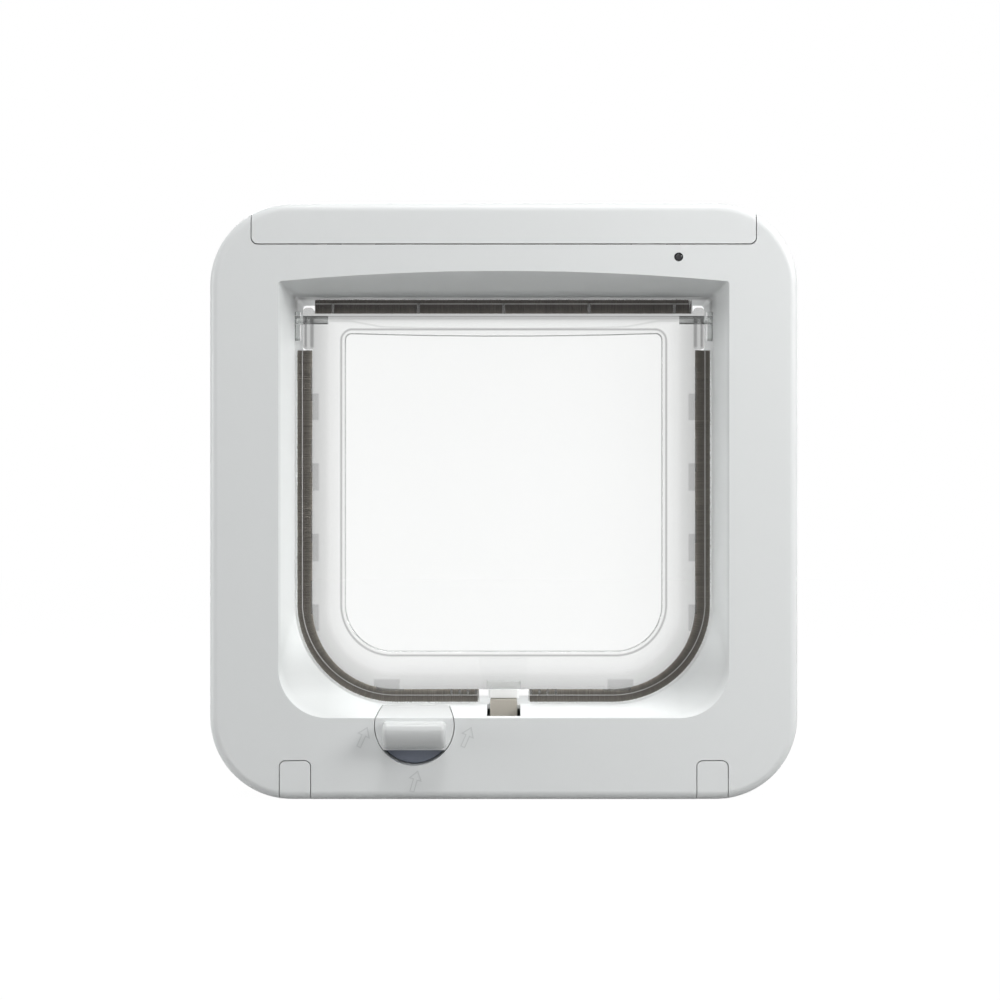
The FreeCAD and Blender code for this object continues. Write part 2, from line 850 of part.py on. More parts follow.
def make_screw_cover(name, sign):
    body = new_body(name)
    back = front + s.plug_depth
    pad(body, "block", "front", front, back, frame_outline(0))
    round_edges(body, "front_edge", s.edge_round, lies_in("Y", front))
    far = s.frame_width
    low = s.plug_floor_gap - s.frame_foot
    half = s.plug_width / 2
    x = sign * screw_x
    left, right = x - half, x + half
    around = [
        rectangle(-far, -far, far, far),
        arched(left, low, right, -plug_top, s.plug_corner),
    ]
    pocket(body, "around", "front", front, back, *around)
    # a split stem that snaps into the head's bore
    stem = s.screw_head_radius - s.slip_gap
    stem_end = screw_seat_y - s.screw_head_height - s.slip_gap
    z = -screw_foot_z
    pad(body, "stem", "front", back, stem_end, circle(x, z, stem), circle(x, z, stem - s.stem_wall))
    slit = rectangle(x - s.slip_gap * 2, z - stem * 2, x + s.slip_gap * 2, z + stem * 2)
    pocket(body, "slit", "front", back, stem_end, slit)
    return body


def bar_outline(outside, inside, top, sign):
    """One side of the brush: down the side, round the low corner and in to the latch notch."""
    out_side, out_foot, out_round = outside
    in_side, in_foot, in_round = inside
    outline = [
        (out_side, top),
        (out_side, out_foot + out_round),
        arc_to(out_side - out_round, out_foot, out_round, False),
        (s.notch_side, out_foot),
        (s.notch_side, in_foot),
        (in_side - in_round, in_foot),
        arc_to(in_side, in_foot + in_round, in_round, True),
        (in_side, top),
    ]
    if sign > 0:
        return outline
    mirrored = []
    for corner in outline:
        flipped = (-corner[0],) + tuple(corner[1:])
        if len(corner) == 4:
            flipped = (-corner[0], corner[1], corner[2], not corner[3])
        mirrored.append(flipped)
    return mirrored


lug_foot = hinge_z + s.lug_top - s.lug_height
pile_start = flap_y - s.pile_thickness / 2
pile_end = flap_y + s.pile_thickness / 2
rim_start = flap_y - s.rim_thickness / 2
rim_end = flap_y + s.rim_thickness / 2


def make_side_seal(name, sign):
    body = new_body(name)
    gap = s.pile_gap
    outside = (tunnel_side - gap, gap - tunnel_floor, s.tunnel_low_corner - gap)
    seat = s.seat_gap
    inside = (rim_side + seat, -rim_foot - seat, rim_low_corner + seat)
    outline = bar_outline(outside, inside, lug_foot - gap, sign)
    pad(body, "strip", "front", pile_start, pile_end, outline)
    return body


def make_top_seal():
    body = new_body("seal_top")
    low = rim_top + s.seat_gap
    side = top_strip_side - s.seat_gap
    outline = rectangle(-side, low, side, low + s.top_strip_height)
    pad(body, "strip", "front", pile_start, pile_end, outline)
    return body


def make_flap_pane():
    body = new_body("flap_pane")
    rim = rounded(
        -rim_side, -rim_foot, rim_side, rim_top, rim_low_corner, s.rim_high_corner
    )
    pad(body, "slab", "front", rim_start, rim_end, rim)
    lug_side = rim_side + s.lug_reach
    inner = top_strip_side
    lugs = []
    for sign in (-1, 1):
        x0, x1 = sorted((sign * inner, sign * lug_side), key=lambda size: size.number)
        lugs.append(rounded(x0, lug_foot, x1, hinge_z + s.lug_top, s.pin_radius, s.pin_radius))
    pad(body, "lugs", "front", rim_start, rim_end, *lugs)
    # the window is thinner than the rim, with a sagging top edge
    half = window_side - s.window_high_corner
    sag_radius = (half * half + s.crescent_sag * s.crescent_sag) / (2 * s.crescent_sag)
    sides = rounded(
        -window_side,
        -window_foot,
        window_side,
        window_top,
        window_low_corner,
        s.window_high_corner,
    )
    window = sides[:5] + [arc_to(-half, window_top, sag_radius, False)] + sides[6:]
    glass_start = flap_y - s.window_thickness / 2
    glass_end = flap_y + s.window_thickness / 2
    pocket(body, "window_front", "front", rim_start, glass_start, window)
    pocket(body, "window_back", "front", glass_end, rim_end, window)
    # the border lies lower than the bead round the window and the brow above it
    bead = rounded(
        -window_side - s.bead_width,
        -window_foot - s.bead_width,
        window_side + s.bead_width,
        window_top + s.bead_width,
        window_low_corner + s.bead_width,
        s.bead_width,
    )
    border = [border_outline(), bead]
    pocket(body, "border_front", "front", rim_start, rim_start + s.bead_height, *border)
    pocket(body, "border_back", "front", rim_end - s.bead_height, rim_end, *border)
    round_edges(body, "soft_front", s.bead_round, bead_edges(rim_start))
    round_edges(body, "soft_back", s.bead_round, bead_edges(rim_end))
    add_clips(body)
    add_latch_boss(body)
    pin = circle(flap_y, hinge_z, s.pin_radius + s.seat_gap / 2)
    depth = lug_side - s.pin_length + s.bush_thickness
    pocket(body, "pin_bore_right", "side", depth, lug_side, pin)
    pocket(body, "pin_bore_left", "side", -lug_side, -depth, pin)
    return body


def bead_edges(position):
    """A test for the crest edges of the bead in one face of the pane."""
    flat = lies_in("Y", position)
    reach = s.bead_width + s.seat_gap
    side = (window_side + reach).number
    head = (window_top + reach).number
    foot = -(window_foot + reach).number

    def test(edge):
        box = edge.BoundBox
        across = box.XMin > -side and box.XMax < side
        return flat(edge) and across and box.ZMin > foot and box.ZMax < head

    return test


def border_outline():
    """The flat border's edge: the rim all round, with the brow's sagging line at the head."""
    half = s.brow_side
    end = half + s.brow_slope
    high = rim_top - s.brow_drop
    low = high - s.brow_height
    radius = (half * half + s.brow_sag * s.brow_sag) / (2 * s.brow_sag)
    return [
        arc_to(rim_low_corner - rim_side, -rim_foot, rim_low_corner),
        (rim_side - rim_low_corner, -rim_foot),
        arc_to(rim_side, rim_low_corner - rim_foot, rim_low_corner),
        (rim_side, high),
        (end, high),
        (half, low),
        arc_to(-half, low, radius, False),
        (-end, high),
        (-rim_side, high),
        (-rim_side, rim_low_corner - rim_foot),
    ]


def add_clips(body):
    """Clips in front of and behind the brush by turns, and the fingers over the top strip."""
    front_clips, back_clips = [], []
    reach = rim_side + s.clip_lap
    inner = rim_side - s.clip_reach
    half = s.clip_length / 2
    lowest = rim_low_corner - rim_foot + s.clip_rise
    for step in range(4):
        z = lowest + step * s.clip_pitch
        for sign in (-1, 1):
            x0, x1 = sorted((sign * inner, sign * reach), key=lambda size: size.number)
            front_clips.append(rectangle(x0, z - half, x1, z + half))
            if step < 3:
                middle = z + s.clip_pitch / 2
                back_clips.append(rectangle(x0, middle - half, x1, middle + half))
    foot = -rim_foot - s.clip_lap
    inner_foot = s.foot_clip_reach - rim_foot
    half = s.foot_clip_length / 2
    outermost = rim_side - rim_low_corner + s.foot_clip_offset
    for step, clips in ((0, front_clips), (1, back_clips)):
        for sign in (-1, 1):
            x = sign * (outermost - step * s.foot_clip_pitch)
            clips.append(rectangle(x - half, foot, x + half, inner_foot))
    # comb of small teeth on each side of the latch boss
    for step in range(4):
        for sign in (-1, 1):
            x = sign * (s.notch_side + s.comb_width + step * s.comb_pitch)
            low, high = x - s.comb_width / 2, x + s.comb_width / 2
            front_clips.append(
            rectangle(low, -rim_foot - s.comb_reach, high, s.comb_reach - rim_foot)
        )
    top_reach = rim_top + s.top_clip_height
    for step in range(-2, 3):
        x = step * finger_pitch
        low, high = x - s.finger_width / 2, x + s.finger_width / 2
        front_clips.append(rectangle(low, rim_top - s.clip_reach, high, top_reach))
    strip_side = top_strip_side
    low, high = rim_top - s.clip_reach, top_reach - s.clip_lap
    back_clips.append(rectangle(-strip_side, low, strip_side, high))
    pad(body, "front_clips", "front", rim_start, rim_start + s.clip_thickness, *front_clips)
    pad(body, "back_clips", "front", rim_end - s.clip_thickness, rim_end, *back_clips)


def add_latch_boss(body):
    """A tapered boss that carries the striker at the foot of the flap."""
    foot = -rim_foot
    top = foot + s.boss_height
    outline = [
        (-s.boss_foot_side, foot),
        (s.boss_foot_side, foot),
        (s.boss_side, top),
        (-s.boss_side, top),
    ]
    half = s.boss_depth / 2
    pad(body, "latch_boss", "front", flap_y - half, flap_y + half, outline)
    side = s.stem_side + s.seat_gap
    depth = s.stem_depth / 2 + s.seat_gap
    slot = rectangle(-side, flap_y - depth, side, flap_y + depth)
    pocket(body, "stem_slot", "level", foot, foot + s.stem_height + s.seat_gap, slot)


striker_top = -rim_foot - s.seat_gap
striker_foot = striker_top - s.striker_height


def make_striker_block():
    body = new_body("striker_block")
    half = s.striker_depth / 2
    block = rectangle(-s.striker_side, flap_y - half, s.striker_side, flap_y + half)
    pad(body, "block", "level", striker_foot, striker_top, block)
    round_edges(body, "corners", s.pin_radius / 2, upright_edges)
    half = s.stem_depth / 2
    stem = rectangle(-s.stem_side, flap_y - half, s.stem_side, flap_y + half)
    pad(body, "stem", "level", striker_top, striker_top + s.stem_height, stem)
    side = s.magnet_side + s.seat_gap
    depth = s.magnet_depth / 2 + s.seat_gap
    room = rectangle(-side, flap_y - depth, side, flap_y + depth)
    pocket(body, "magnet_pocket", "level", striker_foot, striker_foot + s.magnet_height, room)
    return body


def upright_edges(edge):
    box = edge.BoundBox
    return box.XLength < TOUCH and box.YLength < TOUCH


def make_magnet(name, foot, top):
    """A small block magnet below the middle of the flap."""
    body = new_body(name)
    half = s.magnet_depth / 2
    outline = rectangle(-s.magnet_side, flap_y - half, s.magnet_side, flap_y + half)
    pad(body, "block", "level", foot, top, outline)
    return body


def make_hinge_pin(name, sign):
    pin = doc.addObject("Part::Cylinder", name)
    pin.Label = name
    pin.setExpression("Radius", s.pin_radius.formula)
    pin.setExpression("Height", s.pin_length.formula)
    pin.Placement.Rotation = FreeCAD.Rotation(FreeCAD.Vector(0, 1, 0), 90)
    start = rim_side + s.lug_reach - s.pin_length + s.bush_thickness + s.seat_gap
    if sign < 0:
        start = -start - s.pin_length
    pin.setExpression("Placement.Base.x", start.formula)
    pin.setExpression("Placement.Base.y", flap_y.formula)
    pin.setExpression("Placement.Base.z", hinge_z.formula)
    return pin


def make_hinge_bush(name, sign):
    body = new_body(name)
    half = s.bush_width / 2
    block = rounded(
        flap_y - half,
        hinge_z - s.bush_drop,
        flap_y + half,
        hinge_z + s.bush_rise,
        s.pin_radius,
        s.pin_radius,
    )
    wall = tunnel_side
    bore = circle(flap_y, hinge_z, s.pin_radius + s.seat_gap / 2)
    spigot = circle(flap_y, hinge_z, s.bush_spigot)
    if sign > 0:
        pad(body, "block", "side", wall - s.bush_thickness, wall, block)
        pad(body, "spigot", "side", wall, liner_side, spigot)
        pocket(body, "bore", "side", wall - s.bush_thickness, liner_side, bore)
    else:
        pad(body, "block", "side", -wall, s.bush_thickness - wall, block)
        pad(body, "spigot", "side", -liner_side, -wall, spigot)
        pocket(body, "bore", "side", -liner_side, s.bush_thickness - wall, bore)
    return body


def ridge_ends(edge):
    """True for the edges round either end of the finger ridge, in front of the knob's face."""
    box = edge.BoundBox
    at_end = abs(abs(box.Center.x) - s.ridge_side.number) < TOUCH and box.XLength < TOUCH
    return at_end and box.YLength > TOUCH and box.YMax < front.number + TOUCH


def make_lock_knob():
    """The knob turns about its own origin, and its flat top lies in the slope of the sill."""
    body = new_body("lock_knob", *[knob_axis[0], as_size(0), knob_axis[1]])
    back = well_back - s.slip_gap
    face = circle(0, 0, s.knob_radius)
    loft(body, "barrel", False, "front", front, face, back, circle(0, 0, s.knob_radius - s.knob_taper))
    sill_front = knob_z - recess_floor
    sill_back = knob_z - tunnel_floor
    far = s.knob_radius * 2
    above = [
        (front, sill_front),
        (recess_back, sill_back),
        (recess_back, far),
        (front, far),
    ]
    pocket(body, "flat_top", "side", -s.knob_radius, s.knob_radius, above)
    # the ridge's underside is an arc that is upright at the tip, where the nose's arc starts
    nose_foot = s.ridge_top - s.ridge_nose
    height = nose_foot + s.ridge_foot
    belly = (s.ridge_reach * s.ridge_reach + height * height) / (2 * s.ridge_reach)
    tip = front - s.ridge_reach
    ridge = [
        (front + s.ridge_root, s.ridge_top),
        (front + s.ridge_root, -s.ridge_foot),
        (front, -s.ridge_foot),
        arc_to(tip, nose_foot, belly, False),
        arc_to(tip + s.ridge_nose, s.ridge_top, s.ridge_nose, False),
    ]
    pad(body, "ridge", "side", -s.ridge_side, s.ridge_side, ridge)
    round_edges(body, "ridge_ends", s.ridge_soft, ridge_ends)
    scoop = rectangle(front, -far, front + s.scoop_depth, -s.scoop_top)
    pocket(body, "scoop", "side", -s.knob_radius, s.knob_radius, scoop)
    side = s.tang_side + s.seat_gap
    socket = rectangle(-side, -side, side, side)
    pocket(body, "socket", "front", back - s.socket_depth, back, socket)
    return body


grip_back = front + s.scoop_depth
grip_front = grip_back - s.grip_thickness


def make_knob_grip():
    """A dark pad on the floor of the knob's scoop, bounded by a chord and the knob's rim."""
    body = new_body("knob_grip", *[knob_axis[0], as_size(0), knob_axis[1]])
    radius = s.knob_radius - s.grip_inset
    pad(body, "disc", "front", grip_front, grip_back, circle(0, 0, radius))
    above = rectangle(-s.knob_radius, -s.scoop_top - s.seat_gap, s.knob_radius, s.knob_radius)
    pocket(body, "chord", "front", grip_front, grip_back, above)
    return body


pitch_radius = s.tooth_module * TOOTH_COUNT / 2
circular_pitch = s.tooth_module * math.pi


def gear_outline():
    """Eight involute teeth, the first one pointing straight down, as a polygon with rounded tips."""
    base = pitch_radius * math.cos(PRESSURE_ANGLE)
    outer = pitch_radius + s.tooth_addendum
    root = pitch_radius - s.tooth_dedendum
    half_angle = s.tooth_thickness.number / pitch_radius.number / 2
    shift = half_angle + math.tan(PRESSURE_ANGLE) - PRESSURE_ANGLE
    flank = []
    for radius in (base, (base + pitch_radius) / 2, pitch_radius, (pitch_radius + outer) / 2, outer):
        ratio = min(base.number / radius.number, 1.0)
        roll = math.tan(math.acos(ratio)) - math.acos(ratio)
        flank.append((radius, shift - roll))
    profile = [(root, shift)] + flank
    outline = []
    for tooth in range(TOOTH_COUNT):
        middle = -math.pi / 2 + 2 * math.pi * tooth / TOOTH_COUNT
        rising = [(radius, middle - angle) for radius, angle in profile]
        falling = [(radius, middle + angle) for radius, angle in reversed(profile)]
        for radius, angle in rising + falling:
            outline.append((radius * math.cos(angle), radius * math.sin(angle)))
    return outline


def make_lock_pinion():
    body = new_body("lock_pinion", *[knob_axis[0], as_size(0), knob_axis[1]])
    pad(body, "gear", "front", slider_start, slider_end, gear_outline())
    journal_start = well_back - s.slip_gap
    pad(body, "journal", "front", journal_start, slider_start, circle(0, 0, s.journal_radius))
    side = s.tang_side
    tang = rectangle(-side, -side, side, side)
    tang_start = journal_start - s.socket_depth + s.slip_gap
    pad(body, "tang", "front", tang_start, journal_start, tang)
    return body


bar_top = -knob_z - pitch_radius - s.tooth_dedendum
bar_foot = bar_top - s.bar_height
ramp_z = -ramp_height
bar_left = -s.knob_x - circular_pitch * (RACK_TEETH + 1) / 2


def make_lock_slider():
    body = new_body("lock_slider")
    half = s.slider_half_height
    plate = rectangle(-s.slider_side, ramp_z - half, s.slider_side, ramp_z + half)
    pad(body, "plate", "front", slider_start, slider_end, plate)
    top_half = (s.tooth_thickness - 2 * s.tooth_addendum * math.tan(PRESSURE_ANGLE)) / 2
    root_half = (s.tooth_thickness + 2 * s.tooth_dedendum * math.tan(PRESSURE_ANGLE)) / 2
    tip_z = bar_top + s.tooth_dedendum + s.tooth_addendum
    bar = [(bar_left, bar_foot), (-s.slider_side, bar_foot), (-s.slider_side, bar_top)]
    for tooth in reversed(range(RACK_TEETH + 1)):
        middle = -s.knob_x + circular_pitch * (tooth - RACK_TEETH / 2)
        bar.append((middle + root_half, bar_top))
        bar.append((middle + top_half, tip_z))
        bar.append((middle - top_half, tip_z))
        bar.append((middle - root_half, bar_top))
    pad(body, "rack", "front", slider_start, slider_end, bar)
    front_ramp = slider_start + s.ramp_depth
    back_ramp = slider_end - s.ramp_depth
    pocket(body, "inner_ramp", "front", slider_start, front_ramp, ramp_slot(1))
    pocket(body, "outer_ramp", "front", back_ramp, slider_end, ramp_slot(-1))
    return body


def ramp_slot(slope):
    """A round-ended slot at 45 degrees, rising to the right for slope 1 and falling for -1."""
    radius = s.peg_radius + s.peg_gap
    across = radius * math.sqrt(0.5)
    reach = s.lock_travel
    rising = [
        arc_to(across - reach, -reach - across, radius),
        (reach + across, reach - across),
        arc_to(reach + across, reach + across, radius),
        arc_to(reach - across, reach + across, radius),
        (-reach - across, across - reach),
        arc_to(-reach - across, -reach - across, radius),
    ]
    outline = []
    for corner in rising:
        x, z = corner[0], corner[1]
        if slope > 0:
            outline.append((x, ramp_z + z) + tuple(corner[2:]))
        else:
            turned = (-x, ramp_z + z)
            outline.append(turned + ((corner[2], not corner[3]) if len(corner) == 4 else ()))
    return outline


def make_latch(name, start, end, peg_start, peg_end):
    body = new_body(name)
    corner = s.latch_nib
    outline = [
        (-s.latch_side, -latch_foot),
        (s.latch_side, -latch_foot),
        (s.latch_side, -latch_top - corner),
        arc_to(s.latch_side - corner, -latch_top, corner),
        (corner - s.latch_side, -latch_top),
        arc_to(-s.latch_side, -latch_top - corner, corner),
    ]
    pad(body, "blade", "front", start, end, outline)
    pad(body, "peg", "front", peg_start, peg_end, circle(0, ramp_z, s.peg_radius))
    return body


carrier_top = ramp_z - s.slider_half_height - s.slider_float
carrier_end = back_inside - s.flange_thickness - s.slip_gap


def make_latch_carrier():
    """The bracket that guides the slider and both latches and holds the catch motor."""
    body = new_body("latch_carrier")
    base_foot = carrier_top - s.carrier_base
    left = bar_left - s.lock_travel - s.guide_wall
    right = s.motor_x + s.motor_length + s.guide_wall
    start = inner_latch_start - s.guide_wall
    step_x = -s.latch_side - s.slip_gap - s.guide_wall
    behind_well = recess_back + s.slip_gap
    base = [
        (left, behind_well),
        (step_x, behind_well),
        (step_x, start),
        (right, start),
        (right, carrier_end),
        (left, carrier_end),
    ]
    pad(body, "base", "level", base_foot, carrier_top, base)
    floor = s.case_wall - s.frame_foot + s.seat_gap
    ribs = []
    for x in (left, right - s.guide_wall, s.latch_side):
        ribs.append(rectangle(x, behind_well, x + s.guide_wall, carrier_end))
    pad(body, "feet", "level", floor, base_foot, *ribs)
    rail_right = -s.slider_side - s.lock_travel - s.slip_gap
    rail = rectangle(left, slider_start, rail_right, slider_end)
    pad(body, "rail", "level", carrier_top, bar_foot - s.slip_gap, rail)
    fence_top = bar_foot + s.bar_height / 2
    fence_front = slider_start - s.slip_gap
    fence_back = slider_end + s.slip_gap
    fences = [
        rectangle(left, fence_front - s.fence_wall, rail_right, fence_front),
        rectangle(left, fence_back, rail_right, fence_back + s.fence_wall),
    ]
    pad(body, "fences", "level", carrier_top, fence_top, *fences)
    # guides beside each latch, and the walls that close them
    near = s.latch_side + s.slip_gap
    far = near + s.guide_wall
    guides = [
        rectangle(-far, start, -near, slider_start - s.slip_gap),
        rectangle(near, start, far, slider_start - s.slip_gap),
        rectangle(-far, slider_end + s.slip_gap, -near, carrier_end),
        rectangle(near, slider_end + s.slip_gap, far, carrier_end),
        rectangle(-near, start, near, inner_latch_start - s.slip_gap),
        rectangle(-near, outer_latch_end + s.slip_gap, near, carrier_end),
    ]
    guide_top = -tunnel_floor - s.flange_width - s.slip_gap
    pad(body, "guides", "level", carrier_top, guide_top, *guides)
    # the cradle of the catch motor
    radius = s.motor_radius + s.seat_gap
    starts = (s.motor_x, s.motor_x + s.motor_length - s.guide_wall)
    ends = [rectangle(x, flap_y - radius, x + s.guide_wall, flap_y + radius) for x in starts]
    pad(body, "cradle", "level", carrier_top, motor_z - s.motor_radius / 2, *ends)
    bed = circle(flap_y, motor_z, radius)
    pocket(body, "bed", "side", s.motor_x, s.motor_x + s.motor_length, bed)
    return body


motor_z = carrier_top + s.motor_radius + s.seat_gap * 2


def make_catch_motor():
    body = new_body("catch_motor")
    end = s.motor_x + s.motor_length
    pad(body, "can", "side", s.motor_x, end, circle(flap_y, motor_z, s.motor_radius))
    spindle_start = s.slider_side + s.lock_travel + s.slip_gap
    spindle = circle(flap_y, motor_z, s.motor_spindle)
    pad(body, "spindle", "side", spindle_start, s.motor_x, spindle)
    return body


def screw_group(name, places, radius, head_radius, head_start, head_end, end):
    """Equal screws along Y as separate solids, with a cross recess in each head."""
    body = new_body(name)
    body.AllowCompound = True
    heads = [circle(x, z, head_radius) for x, z in places]
    head_low, head_high = sorted((head_start, head_end), key=lambda size: size.number)
    pad(body, "heads", "front", head_low, head_high, *heads)
    shanks = [circle(x, z, radius) for x, z in places]
    shank_low, shank_high = sorted((head_end, end), key=lambda size: size.number)
    pad(body, "shanks", "front", shank_low, shank_high, *shanks)
    half, reach = head_radius / 7, head_radius / 7 * 4
    crosses = []
    for x, z in places:
        crosses.append([
            (x - reach, z - half), (x - half, z - half), (x - half, z - reach),
            (x + half, z - reach), (x + half, z - half), (x + reach, z - half),
            (x + reach, z + half), (x + half, z + half), (x + half, z + reach),
            (x - half, z + reach), (x - half, z + half), (x - reach, z + half),
        ])
    depth = (head_high - head_low) / 2
    if head_start.number < head_end.number:
        pocket(body, "crosses", "front", head_low, head_low + depth, *crosses)
    else:
        pocket(body, "crosses", "front", head_high - depth, head_high, *crosses)
    return body


def make_screws():
    start = screw_seat_y - s.screw_head_height
    end = screw_seat_y + s.screw_length
    groups = [
        screw_group("fixing_screws", screw_places(), s.screw_radius, s.screw_head_radius,
                    start, screw_seat_y, end)
    ]
    head_seat = -s.tapper_head_height - s.seat_gap
    end = back_inside - s.tapper_length + s.seat_gap
    groups.append(
        screw_group("case_screws", post_places(), s.tapper_radius, s.tapper_head_radius,
                    -s.seat_gap, head_seat, end)
    )
    seat = plate_inside + s.board_standoff + s.board_thickness + s.seat_gap
    groups.append(
        screw_group("board_screws", board_post_places(), s.tapper_radius, s.tapper_head_radius,
                    seat + s.tapper_head_height, seat, plate_inside + s.seat_gap)
    )
    return groups


tray_floor = recess_crown + s.tray_lift
cell_z = tray_floor + s.tray_wall + s.cell_radius
tray_end = -s.tray_back
tray_start = tray_end - 4 * s.cell_radius - 2 * s.tray_wall - s.slip_gap * 3
contact_room = s.contact_thickness + s.contact_bow + s.slip_gap
bay_outer = cover_side - s.bay_inset
cell_inner = s.pillar_side + contact_room
cell_outer = bay_outer - contact_room
cell_rows = (
    tray_start + s.tray_wall + s.slip_gap + s.cell_radius,
    tray_end - s.tray_wall - s.slip_gap - s.cell_radius,
)


def make_battery_tray():
    body = new_body("battery_tray")
    side = bay_outer + s.tray_wall
    block = rectangle(-side, tray_start, side, tray_end)
    pad(body, "block", "level", tray_floor, tray_floor + s.tray_rim, block)
    bays = []
    for sign in (-1, 1):
        x0, x1 = sorted((sign * s.pillar_side, sign * bay_outer), key=lambda size: size.number)
        bays.append(rectangle(x0, tray_start + s.tray_wall, x1, tray_end - s.tray_wall))
    pocket(body, "bays", "level", cell_z, tray_floor + s.tray_rim, *bays)
    troughs = [circle(row, cell_z, s.cell_radius + s.seat_gap) for row in cell_rows]
    pocket(body, "trough_right", "side", s.pillar_side, bay_outer, *troughs)
    pocket(body, "trough_left", "side", -bay_outer, -s.pillar_side, *troughs)
    pillar = rectangle(-s.pillar_side, tray_start, s.pillar_side, tray_start + s.pillar_depth)
    pillar_top = button_z + s.button_radius + s.tray_wall * 2
    pad(body, "pillar", "level", tray_floor + s.tray_rim, pillar_top, pillar)
    bore = circle(0, button_z, s.button_radius + s.seat_gap)
    bore_end = button_start + s.button_length + s.button_travel + s.slip_gap
    pocket(body, "button_bore", "front", tray_start, bore_end, bore)
    return body


button_z = tray_floor + s.button_rise
button_start = tray_start - s.button_reach


def make_learn_button():
    body = new_body("learn_button")
    end = button_start + s.button_length
    pad(body, "stem", "front", button_start, end, circle(0, button_z, s.button_radius))
    round_edges(body, "tip", s.button_radius / 4, lies_in("Y", button_start))
    return body


def make_battery_cell(name, sign, row, outward):
    """A round cell that lies along X, with its nub at the outer end when outward is true."""
    body = new_body(name)
    x0, x1 = sorted((sign * cell_inner, sign * cell_outer), key=lambda size: size.number)
    nub_high = outward == (sign > 0)
    can_start = x0 if nub_high else x0 + s.cell_nub_length
    can_end = x1 - s.cell_nub_length if nub_high else x1
    pad(body, "can", "side", can_start, can_end, circle(row, cell_z, s.cell_radius))
    round_edges(body, "shoulders", s.cell_radius / 12, curved_edges)
    nub = circle(row, cell_z, s.cell_nub_radius)
    if nub_high:
        pad(body, "nub", "side", can_end, x1, nub)
    else:
        pad(body, "nub", "side", x0, can_start, nub)
    return body


def curved_edges(edge):
    return isinstance(edge.Curve, Part.Circle)


def make_contact(name, sign, outer):
    """A spring plate at one end of a bay, with a bowed tongue for each cell."""
    body = new_body(name)
    wall = sign * (bay_outer if outer else s.pillar_side)
    inward = -sign if outer else sign
    face = wall + inward * s.contact_thickness
    x0, x1 = sorted((wall, face), key=lambda size: size.number)
    start = tray_start + s.tray_wall + s.seat_gap
    end = tray_end - s.tray_wall - s.seat_gap
    top = tray_floor + s.tray_rim
    plate = rectangle(start, cell_z, end, top)
    pad(body, "plate", "side", x0, x1, plate)
    crest = face + inward * s.contact_bow
    half = s.cell_nub_radius
    tongue = [(face, cell_z), (crest, cell_z + half), (face, cell_z + half * 2)]
    for index, row in enumerate(cell_rows, start=1):
        pad(body, f"tongue_{index}", "front", row - half, row + half, tongue)
    return body


def make_circuit_board():
    body = new_body("circuit_board")
    start = plate_inside + s.board_standoff
    end = start + s.board_thickness
    left, right = board_left, board_left + s.board_width
    foot, top = -board_top - s.board_height, -board_top
    pad(body, "board", "front", start, end, rectangle(left, foot, right, top))
    middle = (left + right) / 2
    side, gap = s.chip_side, s.chip_gap
    chips = [
        rectangle(middle - gap - side, foot + gap, middle - gap, foot + gap + side),
        rectangle(middle + gap, foot + gap, middle + gap + side, foot + gap + side / 2),
        rectangle(middle - gap - side / 2, top - gap - side / 2, middle - gap, top - gap),
        circle(middle + side, top - side, s.board_post_radius),
    ]
    pad(body, "components", "front", end, end + s.chip_height, *chips)
    holes = [circle(x, z, s.tapper_radius + s.seat_gap) for x, z in board_post_places()]
    pocket(body, "holes", "front", start, end, *holes)
    return body


def make_status_light():
    body = new_body("status_light")
    pad(body, "lens", "front", front, plate_inside, circle(*lamp_place, s.lamp_radius))
    flange = circle(*lamp_place, s.lamp_radius + s.lamp_flange)
    flange_start = plate_inside + s.seat_gap
    pad(body, "flange", "front", flange_start, flange_start + s.lamp_flange, flange)
    pad(body, "neck", "front", plate_inside, flange_start, circle(*lamp_place, s.lamp_radius))
    round_edges(body, "dome", s.lamp_radius / 2, lies_in("Y", front))
    return body


def make_antenna_coil():
    body = new_body("antenna_coil")
    inside = s.liner_wall + s.slip_gap
    outside = inside + s.antenna_thickness
    start = s.antenna_offset
    ring = [tunnel_outline(outside), tunnel_outline(inside)]
    pad(body, "winding", "front", start, start + s.antenna_depth, *ring)
    return body


